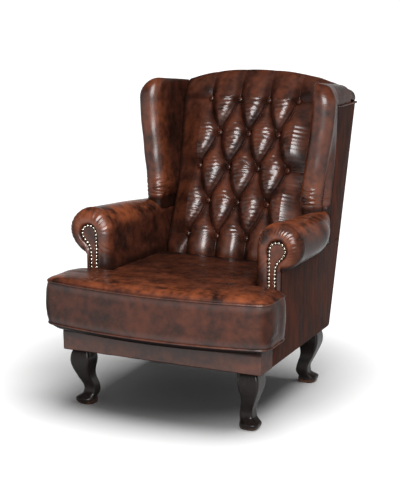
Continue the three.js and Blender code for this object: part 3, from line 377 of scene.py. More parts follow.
def mesh_piece(name, points, faces, material, shares=None, sharp=None):
    """An object from points counted from the front border's face, with named shares per point."""
    mesh = bpy.data.meshes.new(name)
    placed = np.asarray(points, float) + [0, FRONT, LIFT]
    mesh.from_pydata(placed.tolist(), [], [list(map(int, face)) for face in faces])
    for share_name in ("painted_shade", "wear_and_sheen", "crinkle"):
        values = (shares or {}).get(share_name, np.zeros(len(placed)))
        attribute = mesh.attributes.new(share_name, "FLOAT", "POINT")
        attribute.data.foreach_set("value", np.asarray(values, np.float32).ravel())
    mesh.shade_smooth()
    if sharp is not None:
        mesh.set_sharp_from_angle(angle=sharp)
    mesh.materials.append(material)
    piece = bpy.data.objects.new(name, mesh)
    bpy.context.scene.collection.objects.link(piece)
    return piece


def grid_faces(rows, columns, closed=False, start=0):
    i, j = np.meshgrid(np.arange(rows - 1), np.arange(columns if closed else columns - 1), indexing="ij")
    k = (j + 1) % columns
    corners = [i * columns + j, i * columns + k, (i + 1) * columns + k, (i + 1) * columns + j]
    return (np.stack(corners, axis=-1).reshape(-1, 4) + start).tolist()


def points_out(points, quads):
    """Whether a closed form's quads are wound so that they point out of it."""
    a, b, c, d = points[np.array(quads).T]
    away = a + b + c + d - 4 * points.mean(axis=0)
    return np.sum(np.cross(c - a, d - b) * away) > 0


def sheet_piece(name, grid, material, shares=None, closed=False, caps=(False, False), sharp=None):
    """A piece from a grid of points. A closed grid's rows are rings, and caps close its first and last."""
    rows, columns = grid.shape[:2]
    points = grid.reshape(-1, 3)
    faces = grid_faces(rows, columns, closed)
    inside_out = closed and not points_out(points, faces)
    if caps[0]:
        faces.append(list(range(columns))[::-1])
    if caps[1]:
        faces.append([(rows - 1) * columns + j for j in range(columns)])
    if inside_out:
        faces = [face[::-1] for face in faces]
    return mesh_piece(name, points, faces, material, shares, sharp)


def add_dome(points, faces, centre, axis, radius, height, profile, turns):
    """Adds a turned dome: its crown, then a ring for each (radius share, height share) of the profile."""
    up = Vector((0, axis.z, -axis.y))
    start = len(points)
    points.append(centre + axis * height)
    for out, lift in profile:
        for turn in (2 * math.pi * k / turns for k in range(turns)):
            place = up * (math.sin(turn) * out * radius) + axis * (lift * height)
            points.append(centre + place + Vector((math.cos(turn) * out * radius, 0, 0)))
    faces += [[start, start + 1 + (k + 1) % turns, start + 1 + k] for k in range(turns)]
    faces += [face[::-1] for face in grid_faces(len(profile), turns, True, start + 1)]


def reflected(piece, name, axis, total):
    """A mirror image: a point and its image have coordinates along the axis that add up to the total."""
    other = piece.copy()
    other.data = piece.data.copy()
    other.name = name
    for vertex in other.data.vertices:
        vertex.co[axis] = total - vertex.co[axis]
    other.data.flip_normals()
    bpy.context.scene.collection.objects.link(other)
    return other


def mirrored(piece, name):
    """The same piece on the chair's other side."""
    return reflected(piece, name, 0, 0)


def settle(piece, body, slot, *nodes, fill=None):
    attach(piece, body)
    if nodes:
        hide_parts(*nodes)


def settle_pair(left, node, slot="leather", fill=None):
    """Settles a left piece and its mirror image on their own sides' nodes."""
    right = mirrored(left, left.name.replace("left", "right"))
    for piece, side in ((left, "left"), (right, "right")):
        settle(piece, "chair", slot, f"{node}_{side}", fill=fill)


# Materials

class Nodes:
    """A node tree. Each call adds a node and gives back the output that is used next."""

    def __init__(self, tree, coordinates):
        self.tree = tree
        self.place = self.add("TexCoord")[coordinates]

    def add(self, kind, inputs=None, **settings):
        node = self.tree.nodes.new("ShaderNode" + kind)
        for setting, value in settings.items():
            setattr(node, setting, value)
        for socket, value in (inputs or {}).items():
            self.plug(node.inputs[socket], value)
        return node.outputs

    def plug(self, target, value):
        if isinstance(value, bpy.types.NodeSocket):
            self.tree.links.new(value, target)
        else:
            target.default_value = value

    def span(self, value, low, high, to_low=0.0, to_high=1.0, kind="SMOOTHSTEP"):
        inputs = {"Value": value, "From Min": low, "From Max": high, "To Min": to_low, "To Max": to_high}
        return self.add("MapRange", inputs, interpolation_type=kind)["Result"]

    def maths(self, operation, a, b):
        return self.add("Math", {0: a, 1: b}, operation=operation)["Value"]

    def plus(self, a, b):
        return self.maths("ADD", a, b)

    def times(self, a, b):
        return self.maths("MULTIPLY", a, b)

    def background_rays(self):
        """1 for the rays that show the background: from the camera, in gloss and through glass."""
        path = self.add("LightPath")
        seen = self.maths("MAXIMUM", path["Is Camera Ray"], path["Is Glossy Ray"])
        return self.maths("MAXIMUM", seen, path["Is Transmission Ray"])


class Look(Nodes):
    """A material's nodes."""

    def __init__(self, name):
        self.material = bpy.data.materials.new(name)
        self.material.use_nodes = True
        super().__init__(self.material.node_tree, "Object")
        self.shader = self.tree.nodes["Principled BSDF"]

    def share(self, name):
        return self.add("Attribute", attribute_name=name)["Fac"]

    def stretched(self, scale):
        return self.add("Mapping", {"Vector": self.place, "Scale": scale})["Vector"]

    def noise(self, scale, detail=4, roughness=0.55, at=None):
        inputs = {"Vector": at or self.place, "Scale": scale, "Detail": detail, "Roughness": roughness}
        return self.add("TexNoise", inputs)["Fac"]

    def cells(self, scale):
        return self.add("TexVoronoi", {"Vector": self.place, "Scale": scale})["Distance"]

    def blend(self, share, a, b):
        return self.add("Mix", {"Factor": share, 6: a, 7: b}, data_type="RGBA")[2]

    def facing(self):
        """0 where the surface faces the eye and 1 at its rim."""
        return self.add("LayerWeight")["Facing"]

    def bump(self, height, distance, strength=1.0, over=None):
        inputs = {"Height": height, "Distance": distance, "Strength": strength}
        if over is not None:
            inputs["Normal"] = over
        return self.add("Bump", inputs)["Normal"]

    def finish(self, color, roughness, normal=None, **fixed):
        self.plug(self.shader.inputs["Base Color"], color)
        self.plug(self.shader.inputs["Roughness"], roughness)
        if normal is not None:
            self.plug(self.shader.inputs["Normal"], normal)
        for socket, value in fixed.items():
            self.shader.inputs[socket.replace("_", " ")].default_value = value
        return self.material


def srgb(red, green, blue):
    """A shader colour from the usual 0 to 255 values."""
    def linear(value):
        value /= 255
        return value / 12.92 if value <= 0.04045 else ((value + 0.055) / 1.055) ** 2.4
    return (linear(red), linear(green), linear(blue), 1.0)


# The two stains are the leather's own; the orange-brown is partly real wear and partly painted sheen, and the
# near-black is painted shade.
DARK_STAIN = srgb(27, 14, 11)
BROWN_STAIN = srgb(72, 37, 25)
WEAR_AND_SHEEN_BROWN = srgb(108, 56, 33)
PAINTED_SHADE_BROWN = srgb(20, 10, 8)


def leather(name, stretch=(1, 1, 1), sheen_and_wear_scale=1.0, waxed=True):
    """Hand-antiqued leather: dark stain over red-brown, orange-brown where hands and edges wear it and as
    painted sheen on high places, near-black as painted shade in folds, seams and under things.
    """
    look = Look(name)
    at = look.stretched(stretch)
    painted_shade, wear_and_sheen = look.share("painted_shade"), look.share("wear_and_sheen")
    cloud = look.noise(13, 4, 0.55, at)
    mottle = look.noise(38, 5, 0.55, at)
    mixed = look.plus(look.times(cloud, 0.62), look.times(mottle, 0.38))
    stained = look.blend(look.span(mixed, 0.33, 0.72), DARK_STAIN, BROWN_STAIN)
    patch = look.plus(look.times(look.noise(11, 3, 0.55, at), 0.65), look.times(mottle, 0.35))
    # Orange-brown patches: real wear on edges and high places, and painted sheen there as well
    worn = look.times(look.span(patch, 0.36, 0.64), look.times(wear_and_sheen, sheen_and_wear_scale))
    warm = look.blend(worn, stained, WEAR_AND_SHEEN_BROWN)
    # Near-black painted shade in folds, seams, pits and under things
    color = look.blend(look.span(painted_shade, 0.1, 1.0), warm, PAINTED_SHADE_BROWN)
    grain = look.plus(look.times(look.cells(460), 0.6), look.noise(800, 2, 0.5))
    normal = look.bump(grain, 0.0002, 0.35)
    normal = look.bump(look.noise(45, 3, 0.5), 0.0012, 0.35, over=normal)
    lines = look.noise(150, 3, 0.55, look.stretched((0.20, 0.6, 1)))
    normal = look.bump(look.times(lines, look.share("crinkle")), 0.0018, over=normal)
    rough = 0.25 if waxed else 0.5
    roughness = look.span(cloud, 0.3, 0.75, rough, rough + 0.1)
    if waxed:
        # The wax shines less where the painted shade lies, and where the leather is seen at a slant
        wax = look.times(look.span(look.facing(), 0.16, 0.60, 1.0, 0.0), look.span(painted_shade, 0.0, 0.5, 1.0, 0.2))
        look.plug(look.shader.inputs["Coat Weight"], wax)
    return look.finish(color, roughness, normal, Coat_Roughness=0.29,
                       Specular_IOR_Level=0.04 if waxed else 0.02)


def dark_wood():
    """Near-black lacquer over fine grain, worn through where the rub share is high."""
    look = Look("dark_wood")
    grain = look.noise(30, 5, 0.6, look.stretched((6, 6, 0.7)))
    worn = look.times(look.share("wear_and_sheen"), look.span(look.noise(70), 0.4, 0.6))
    stained = look.blend(look.span(grain, 0.35, 0.7), srgb(12, 9, 8), srgb(26, 18, 16))
    color = look.blend(worn, stained, srgb(84, 56, 40))
    roughness = look.span(grain, 0.3, 0.8, 0.30, 0.46)
    return look.finish(color, roughness, look.bump(grain, 0.0006, 0.5), Coat_Weight=0.05, Coat_Roughness=0.2,
                       Specular_IOR_Level=0.2)


def frame_wood():
    """Sawn, unfinished wood."""
    look = Look("frame_wood")
    grain = look.noise(16, 6, 0.6, look.stretched((8, 1, 8)))
    color = look.blend(look.span(grain, 0.3, 0.7), srgb(166, 124, 78), srgb(204, 166, 116))
    return look.finish(color, look.span(grain, 0.3, 0.8, 0.6, 0.8), look.bump(grain, 0.0008, 0.4))


def metal(name, color, worn, roughness):
    look = Look(name)
    cloud = look.noise(120, 3)
    mixed = look.blend(look.span(cloud, 0.35, 0.7), color, worn)
    rough = look.span(cloud, 0.3, 0.7, roughness - 0.06, roughness + 0.08)
    return look.finish(mixed, rough, look.bump(cloud, 0.0002, 0.3), Metallic=1.0)


def cloth(name, light, dark):
    """Plain weave: threads along both axes."""
    look = Look(name)
    threads = [look.add("TexWave", {"Vector": look.place, "Scale": 260}, bands_direction=axis)["Fac"]
               for axis in "XY"]
    weave = look.times(*threads)
    color = look.blend(look.span(weave, 0.1, 0.8), dark, light)
    return look.finish(color, look.span(look.noise(40), 0.3, 0.7, 0.85, 0.95), look.bump(weave, 0.0004, 0.6))


LEATHER = leather("leather")
PANEL_LEATHER = leather("leather_panels", stretch=(1.5, 1.5, 0.4), waxed=False)
PIPING_LEATHER = leather("leather_piping", sheen_and_wear_scale=0.8)
DARK_WOOD = dark_wood()
FRAME_WOOD = frame_wood()
STEEL = metal("steel", srgb(150, 152, 155), srgb(120, 120, 122), 0.35)
NAIL_METAL = metal("nail_metal", srgb(214, 206, 194), srgb(150, 140, 126), 0.24)
BLACK_CLOTH = cloth("black_cloth", srgb(38, 38, 40), srgb(16, 16, 17))
FOAM = cloth("foam", srgb(232, 222, 196), srgb(210, 198, 168))


# Tufted back

def tuft_columns():
    reach = EDGE_COLUMN + SIDE_COLUMNS
    return np.arange(-reach, reach + COLUMN_STEP / 2, COLUMN_STEP)


def tuft_rows():
    top = LAST_ROW + CREST_ROWS
    return np.concatenate([np.arange(-2, -1, FOOT_ROW_STEP), np.arange(-1, top, ROW_STEP), [top]])


def ridge_depth(x):
    return back_depth(crest_top(x), PAD_REAR_INSET) - RIDGE_LEAD


def column_x(s, z):
    reach = np.minimum(np.abs(s), EDGE_COLUMN) * HALF_SPACING
    share = np.maximum(np.abs(s) - EDGE_COLUMN, 0) / SIDE_COLUMNS
    return np.sign(s) * lerp(reach, inner_half(z) - PAD_SIDE_GAP, share)


def button_plane(x, t):
    """The plane that the buttons lie on, up to the crest's ridge: depth, height and how full its puffs are."""
    low, high = back_depth(LOWEST_ROW, LOWEST_ROW_INSET), back_depth(TOP_ROW, TOP_ROW_INSET)
    run, rise = (high - low) / LAST_ROW, (TOP_ROW - LOWEST_ROW) / LAST_ROW
    foot = low - PAD_FOOT_LEAD
    knee = 1 / 3
    foot_rows = [-2, -1, -knee, 0, 1]
    foot_heights = [DECK_TOP, lerp(DECK_TOP, LOWEST_ROW, 0.5), LOWEST_ROW - knee * rise, LOWEST_ROW,
                    LOWEST_ROW + rise]
    depth = np.where(t < 0, through(foot_rows, [foot, foot, foot, low, low + run], t), low + t * run)
    height = np.where(t < 0, through(foot_rows, foot_heights, t), LOWEST_ROW + t * rise)
    crest_rows = [LAST_ROW + CREST_ROWS * quarter / 4 for quarter in range(5)]
    back = through(crest_rows, [0, 0.16, 0.37, 0.65, 1], t)
    up = through(crest_rows, [0, 0.28, 0.55, 0.81, 1], t)
    depth = np.where(t > LAST_ROW, lerp(high, ridge_depth(x), back), depth)
    height = np.where(t > LAST_ROW, lerp(TOP_ROW, crest_top(x), up), height)
    return depth, height, np.where(t > LAST_ROW, 1 - 0.95 * np.clip(up, 0, 1), 1)


def fold_side(u):
    """Signed distance from the nearest fold at odd u, from -1 to 1."""
    return np.mod(u, 2) - 1


def fullness(u):
    """How full a puff is across its folds: 0 on the folds at odd u, 1 between them."""
    return (1 - np.abs(1 - np.abs(fold_side(u))) ** 2.3) ** 0.62


def lip(u):
    """How far a puff's edge laps over the fold below it: only on the fold's upper side."""
    q = fold_side(u)
    return np.where(q > 0, bell(q, 0.085, 0.055), 0)


def button_columns(r):
    reach = EDGE_COLUMN - r % 2
    return range(-reach, reach + 1, 2)


def button_folds(s, t):
    """Fine folds that run out from each button, mostly sideways, and the distance from the nearest button."""
    folds = np.zeros_like(s)
    nearest = np.full_like(s, 1.0)
    for c, r in [(c, r) for r in range(BUTTON_ROWS) for c in button_columns(r)]:
        across, along = (s - c) * HALF_SPACING, (t - r) * ROW_LENGTH
        away = np.hypot(across, along)
        turn = np.arctan2(along, np.abs(across) + 1e-6)
        phase = 1.7 * r + 2.3 * c
        rays = np.sin(turn * 19 + phase + 2.2 * np.sin(away * 90 + phase))
        folds += rays * bell(away, 0.022, 0.013) * bell(turn, 0, 0.85)
        nearest = np.minimum(nearest, away)
    return folds, nearest


def tufted_back():
    s, t = np.meshgrid(tuft_columns(), tuft_rows())
    row = np.clip(t, 0, LAST_ROW)
    loose = np.clip(np.maximum(t - LAST_ROW, -t), 0, 1)
    side = np.abs(s)
    inner = np.where(side < EDGE_COLUMN, 1, 0)
    column = np.sign(s) * np.where(inner == 1, side, EDGE_COLUMN + (side - EDGE_COLUMN) * loose)
    sway = FOLD_SWAY * np.sin(np.pi * (row + 0.5)) * np.sin(np.pi * column) * inner
    sag = FOLD_SAG * np.sin(np.pi * row) ** 2 + sway
    rising, falling = column + row + sag, column - row - sag
    a, b = fullness(rising), fullness(falling)
    flat = np.stack([column * HALF_SPACING, row * ROW_LENGTH], axis=-1)
    full = 1 + PUFF_UNEVENNESS * wander(flat, 0.16, 3)
    puff = PUFF_HEIGHT * a * b * full + FOLD_HEIGHT * (a + b - a * b)
    folds, nearest = button_folds(s, t)
    puff = puff * smoothstep(nearest, 0.002, 0.022) - PIT_DEPTH * below(nearest, 0.008, 0.014)
    past = np.clip((side - EDGE_COLUMN - EDGE_START) / (SIDE_COLUMNS - EDGE_START), 0, 1)
    edge = 0.25 * smoothstep(past, 0, 1) + 0.75 * past ** 1.1
    fall = -EDGE_FALL * np.where(t > LAST_ROW - 1, lerp(1, 0.5, np.clip(t - LAST_ROW + 1, 0, 1)), 1)
    height = lerp(puff, fall, edge) + PUCKER * folds * (1 - edge)
    height = height + PUFF_WRINKLE * wander(flat * [1, 2.4], 0.030, 9) * a * b * (1 - edge)

    x = column_x(s, button_plane(np.zeros_like(t), t)[1])
    depth, z, calm = button_plane(x, t)
    x = column_x(s, z)
    rise, run = np.gradient(z, axis=0), np.gradient(depth, axis=0)
    length = np.hypot(rise, run)
    ny, nz = rise / length, np.where(t < -0.5, 0, run / length)
    height = height * calm

    # Each puff's lower edge laps over the puffs below it
    within = below(side, EDGE_COLUMN, EDGE_COLUMN + 0.7) * np.where(t < LAST_ROW + 1, 1, 0) * calm
    within = within * smoothstep(nearest, 0.012, 0.026)
    lap_right = LAP * lip(rising) * b * within
    lap_left = LAP * lip(-falling) * a * within
    x = x - LAP_ACROSS * (lap_right - lap_left)
    down = -LAP_DOWN * (lap_right + lap_left)
    grid = np.stack([x, depth - ny * height + down * nz, z + nz * height + down * ny], axis=-1)

    # Painted shade in folds and pits, and on the flanks above a fold, which face down; there the wax also shines
    # less
    deep = below(np.minimum(a, b), 0.05, 0.62)
    pit = below(nearest, 0.010, 0.016)
    above_left, above_right = fold_side(rising), fold_side(falling)
    downward_flank_shade = np.maximum(np.where(above_left > 0, below(above_left, 0.15, 0.55), 0),
                      np.where(above_right < 0, smoothstep(above_right, -0.55, -0.15), 0))
    painted_shade = np.maximum(np.maximum(deep * 0.5, pit * 0.7), downward_flank_shade * 0.5) * np.clip(calm * 1.6, 0, 1)
    # Painted shade at the pad's sides next to the wings, and at its foot behind the cushion
    painted_shade = np.maximum(lerp(painted_shade, 0.8, smoothstep(side, 4.5, 5)), below(t, -0.9, -0.35) * 0.9)
    # Puff tops lighter: wear and painted sheen
    wear_and_sheen = smoothstep(a * b, 0.45, 0.95) * 0.25
    crinkle = (0.25 + 0.75 * bell(nearest, 0.020, 0.022)) * (1 - edge) * smoothstep(a * b, 0.05, 0.4)
    piece = sheet_piece("tufted_back", grid, LEATHER, {"painted_shade": painted_shade, "wear_and_sheen": wear_and_sheen, "crinkle": crinkle})
    settle(piece, "chair", "leather", "back_pad", fill=0.9)


def button_rows():
    axis = Vector((0, -math.cos(BACK_RAKE), math.sin(BACK_RAKE)))
    # Painted shade on each button's rim; the crowns get a little wear and painted sheen
    rim_shares = [0.0 if out < 0.95 and lift > 0 else 0.4 for out, lift in BUTTON_PROFILE]
    button_shares = [0.0] + [share for share in rim_shares for _ in range(BUTTON_TURNS)]
    for r in range(BUTTON_ROWS):
        depth, height, _ = button_plane(np.zeros(1), np.array([float(r)]))
        points, faces = [], []
        for c in button_columns(r):
            centre = Vector((c * HALF_SPACING, depth[0], height[0])) + axis * BUTTON_LIFT
            add_dome(points, faces, centre, axis, BUTTON_RADIUS, BUTTON_HEIGHT, BUTTON_PROFILE, BUTTON_TURNS)
        shares = {"painted_shade": button_shares * len(button_columns(r)), "wear_and_sheen": np.full(len(points), 0.1)}
        piece = mesh_piece(f"buttons_{r + 1}", points, faces, LEATHER, shares)
        settle(piece, "chair", "leather", f"tuft_row_{r + 1}")


def crest_roll():
    """The crest's rear half: over the crest rail, down behind the outside back, and round at both ends."""
    tip = 0.02 * (1 - np.cos(np.linspace(0, np.pi / 2, 10)))
    along = np.concatenate([-1 + tip, np.linspace(-0.975, 0.975, 120), (1 - tip)[::-1]])
    ends = np.clip((1 - np.abs(along)) / 0.05, 0, 1)
    full = 0.5 + 0.5 * np.sqrt(1 - (1 - ends) ** 2)
    rings = []
    for share, whole in zip(along, full):
        x = share * CREST_HALF
        rise = (crest_top(x) - FLAP_HEIGHT) * whole
        top = FLAP_HEIGHT + rise
        low, high = FLAP_HEIGHT + rise * 0.5, FLAP_HEIGHT + rise * 0.86
        front = PAD_REAR_INSET
        outline = [
            (back_depth(FLAP_HEIGHT, front), FLAP_HEIGHT),
            (back_depth(FLAP_HEIGHT, -FLAP_OVERHANG + 0.003), FLAP_HEIGHT),
            (back_depth(FLAP_HEIGHT + 0.004, -FLAP_OVERHANG), FLAP_HEIGHT + 0.004),
            (back_depth(low, -FLAP_OVERHANG), low),
            (back_depth(high, -FLAP_OVERHANG * 0.2), high),
            (back_depth(top, front * 0.42), top - 0.0035),
            (ridge_depth(x) + 0.004, top - 0.0015),
            (back_depth(top, front + 0.012), top - 0.006),
            (back_depth(top, front + 0.004), top - 0.020),
        ]
        rings.append(at_side(ring_of(outline, 90, rounding=7), x))
    grid = np.array(rings)
    top_share = smoothstep(grid[..., 2], FLAP_HEIGHT + 0.02, CREST_HEIGHT - 0.02)
    grid += grid_normals(grid, True) * (0.0008 * wander(grid, 0.05, 11))[..., None]
    # Painted shade under the roll's overhang; its top is lighter with wear and painted sheen
    painted_shade = np.where(grid[..., 2] < FLAP_HEIGHT + 0.003, 0.8, 0.1)
    piece = sheet_piece("crest_roll", grid, LEATHER, {"painted_shade": painted_shade, "wear_and_sheen": 0.2 * top_share},
                        closed=True, caps=(True, True))
    settle(piece, "chair", "leather", "crest_pad", fill=0.8)


# Wings

def wing_seam(z):
    levels, depths = zip(*WING_SEAM_DEPTHS)
    return np.interp(z, levels, depths)


def wing_ring(level, dome):
    """A level section of the wing, drawn in and raised as the dome's angle grows over the shoulder."""
    share = smoothstep(level, WING_FOOT, WING_SHOULDER)
    roll_x = BODY_HALF - lerp(*WING_ROLL_INSET, share)
    roll_y = lerp(*WING_ROLL_DEPTH, share)
    radius = lerp(*WING_ROLL_RADIUS, share)
    inner = inner_half(level) + GAP + WING_TUCK * float(below(level, 0.59, 0.65))
    height = level + WING_CORNER_HEIGHT * math.sin(dome)
    rear = back_depth(height - WING_TOP_FALL * math.sin(dome), PAD_REAR_INSET + PAD_SIDE_GAP)
    roll = arc(0, 0, radius, np.arange(-24, 181, 6))
    roll = np.column_stack([np.maximum(roll_x + roll[:, 0], inner), roll_y - roll[:, 1]])
    seam = float(wing_seam(level))
    beside_seam = (BODY_HALF + lerp(-0.003, 0.003, share), seam - 0.012)
    outline = np.vstack([[(BODY_HALF, rear), (BODY_HALF, seam), beside_seam], roll,
                         [(inner, roll_y + radius), (inner, rear)]])
    lost = 1 - math.cos(dome)
    front, outer = roll_y - radius, roll_x + radius
    width = (outer - inner - (WING_CORNER_WIDTH + WING_INNER_ROUND) * lost) / (outer - inner)
    length = (rear - front - WING_FRONT_ROUND * lost) / (rear - front)
    x = inner + WING_INNER_ROUND * lost + (outline[:, 0] - inner) * width
    depth = rear + (outline[:, 1] - rear) * length
    fall = WING_TOP_FALL * math.sin(dome) * (depth - roll_y) / (rear - roll_y)
    return ring_of(np.column_stack([x, depth, height - np.maximum(fall, 0)]), 150, rounding=2)


def wing():
    levels = np.linspace(ARM_CENTRE_Z + 0.012, WING_SHOULDER, 110)
    domes = np.radians(np.linspace(0, 88, 30)[1:])
    grid = np.array([wing_ring(level, 0) for level in levels]
                    + [wing_ring(WING_SHOULDER, dome) for dome in domes])
    normals = outward_normals(grid)
    x, y, z = grid[..., 0], grid[..., 1], grid[..., 2]
    front = below(y, 0.58, 0.66)
    creases = bell(z, 0.640, 0.035) * front * wander(grid * [1, 1, 3.2], 0.035, 21)
    gathers = bell(z, 0.975, 0.03) * smoothstep(x, 0.325, 0.35) * np.sin(z * 900 + 4 * wander(grid, 0.08, 5))
    offset = WING_CREASE * creases + WING_WAVE * wander(grid, 0.09, 8) + WING_WAVE * gathers
    behind_seam = smoothstep(y, wing_seam(z) - 0.002, wing_seam(z) + 0.004)
    hidden = behind_seam * smoothstep(x, BODY_HALF - 0.004, BODY_HALF - 0.001)
    offset = lerp(offset, -HIDDEN_INSET, hidden)
    grid = grid + normals * offset[..., None]
    # Painted shade at the seam, on the inner face towards the back and at the foot, and a light painted shade
    # all over that also dulls the wax; the front roll is lighter with wear and painted sheen
    seam = bell(y, wing_seam(z), 0.006) * smoothstep(x, 0.335, 0.345)
    inside = below(x, inner_half(z), inner_half(z) + 0.012) * smoothstep(y, 0.60, 0.70)
    painted_shade = np.clip(seam + inside * 0.5 + below(z, 0.60, 0.625) * 0.8, 0.2, 1)
    wear_and_sheen = front * 0.4 * below(x, 0.29, 0.37) + 0.25 * front
    left = sheet_piece("wing_left", grid, LEATHER, {"painted_shade": painted_shade, "wear_and_sheen": wear_and_sheen}, closed=True,
                       caps=(True, True))
    settle_pair(left, "wing_pad", fill=0.85)


# Arms

def scroll(margin, bottom):
    """The scroll's outline seen from the front: up the inner side, over the head, in at the throat and down."""
    head = arc(SCROLL_HEAD_X, SCROLL_HEAD_Z, SCROLL_HEAD_RADIUS + margin, ARM_TURNS)
    throat = arc(SCROLL_THROAT_X, SCROLL_THROAT_Z, margin, [-30])
    return np.vstack([[(SCROLL_INNER - margin, bottom)], head, throat,
                      [(SCROLL_OUTER + margin, SCROLL_NECK_Z), (SCROLL_OUTER + margin, bottom)]])


def arm_section(reach, fall):
    """The arm's outline seen from the front: its roll reaches outward and its top falls."""
    inner = ARM_INNER + ARM_SHOULDER
    angle = np.radians(ARM_TURNS)
    side = np.where(ARM_TURNS > 90, ARM_CENTRE_X - inner, reach)
    height = np.where(ARM_TURNS > 0, ARM_ROLL_HEIGHT - fall, ARM_ROLL_HEIGHT)
    x = ARM_CENTRE_X + side * np.cos(angle)
    roll = np.column_stack([np.where(ARM_TURNS > 0, x, np.maximum(x, BODY_HALF)),
                            ARM_CENTRE_Z + height * np.sin(angle)])
    throat = (BODY_HALF + GAP, lerp(roll[-1, 1], ARM_UNDERSIDE, 0.8))
    return np.vstack([[(ARM_INNER, ARM_BOTTOM)], roll,
                      [throat, (BODY_HALF, ARM_UNDERSIDE), (BODY_HALF, ARM_BOTTOM)]])


def arm_rings():
    """Rings across the arm, from the hollow behind its facing to the raked back."""
    front = ARM_FRONT + FACING + GAP
    small = ring_of(scroll(FACING_MARGIN + GAP, ARM_BOTTOM), RING_POINTS)
    large = ring_of(arm_section(ARM_ROLL_REACH, 0), RING_POINTS)
    keys = np.arange(len(NOSE_FULL))
    rings = []
    for at in np.linspace(0, keys[-1], 44):
        full = through(keys, NOSE_FULL, np.array([at]))[0]
        lead = through(keys, NOSE_LEAD, np.array([at]))[0]
        rings.append(at_depth(lerp(small, large, np.clip(full, 0, 1)), front - ARM_LAP * lead))
    round_end = front + ARM_FRONT_ROUND
    for along in np.linspace(0, 1, 90)[1:]:
        reference = lerp(round_end, back_depth(ARM_CENTRE_Z, ARM_REAR_INSET), along)
        drawn_in = smoothstep(reference, lerp(round_end, ARM_ROLL_END, 0.45), ARM_ROLL_END)
        reach = lerp(ARM_ROLL_REACH, BODY_HALF - ARM_CENTRE_X, drawn_in)
        fall = ARM_TOP_FALL * min((reference - front) / (ARM_ROLL_END - front), 1)
        flat = ring_of(arm_section(reach, fall), RING_POINTS)
        rings.append(at_depth(flat, lerp(round_end, back_depth(flat[:, 1], ARM_REAR_INSET), along)))
    return np.array(rings), front


def arm():
    grid, front = arm_rings()
    normals = outward_normals(grid)
    x, y, z = grid[..., 0], grid[..., 1], grid[..., 2]
    rolled = smoothstep(z, 0.45, 0.52)
    around = np.arctan2(z - SCROLL_HEAD_Z, x - SCROLL_HEAD_X)
    away = np.hypot(z - SCROLL_HEAD_Z, x - SCROLL_HEAD_X)
    on_nose = below(y, front - 0.004, front + 0.040) * smoothstep(away, 0.034, 0.046) * rolled
    gathers = np.sin(around * 31 + 3.0 * wander(grid, 0.07, 2)) * (0.5 + 0.5 * wander(grid, 0.05, 3))
    soft = wander(grid * [1, 0.6, 1], 0.10, 14) * smoothstep(y, front, front + 0.04)
    offset = ARM_GATHER * (on_nose * gathers + soft)
    covered = np.maximum(below(z, OUTSIDE_SEAM, OUTSIDE_SEAM + 0.004),
                         smoothstep(y, wing_seam(z) - 0.01, wing_seam(z)))
    at_wall = smoothstep(x, BODY_HALF - 0.003, BODY_HALF - 0.001) * below(x, BODY_HALF, BODY_HALF + 0.002)
    offset = lerp(offset, -HIDDEN_INSET, covered * at_wall)
    grid = grid + normals * offset[..., None]
    # Painted shade under the roll, in the hollow beside the facing, low on the inner face, on the outer side and
    # towards the back; the top and the nose are lighter with wear and painted sheen
    under = below(z, 0.483, 0.505) * smoothstep(x, BODY_HALF - 0.004, BODY_HALF + 0.004)
    wall = below(away, 0.033, 0.040) * below(y, front - 0.010, front + 0.002)
    low = below(z, 0.42, 0.46) * below(x, 0.27, 0.30)
    outer = smoothstep(x, BODY_HALF + 0.01, BODY_HALF + 0.05) * below(z, 0.56, 0.61)
    rear = smoothstep(y, 0.58, 0.66)
    painted_shade = np.clip(under + wall * 0.5 + low * 0.7 + outer * 0.55 + rear * 0.5, 0, 1)
    wear_and_sheen = np.clip(smoothstep(z, 0.54, 0.600) * 1.3 + 0.5 * below(y, 0.16, 0.21) * rolled, 0, 1)
    left = sheet_piece("arm_left", grid, LEATHER, {"painted_shade": painted_shade, "wear_and_sheen": wear_and_sheen}, closed=True,
                       caps=(True, True))
    settle_pair(left, "arm_pad", fill=0.85)


def facing():
    """The scroll's front: a padded panel whose edge is turned in behind the band of nails."""
    outer = ring_of(scroll(FACING_MARGIN, DECK_TOP + GAP), 200)
    neck = np.column_stack([np.full(len(outer), (SCROLL_INNER + SCROLL_OUTER) / 2), outer[:, 1]])
    head = np.clip((outer[:, 1] - 0.50) / 0.03, 0, 1)[:, None]
    inward = lerp(neck, np.array([SCROLL_HEAD_X, SCROLL_HEAD_Z]), head * 0.98)
    grid = np.array([at_depth(lerp(outer, inward, share), ARM_FRONT + depth) for share, depth in FACING_PROFILE])
    # A light painted shade over the facing, with wear and painted sheen
    shares = {"painted_shade": np.full(grid.shape[:2], 0.15), "wear_and_sheen": np.full(grid.shape[:2], 0.35)}
    settle_pair(sheet_piece("facing_left", grid, LEATHER, shares, closed=True, caps=(False, True)), "arm_facing")


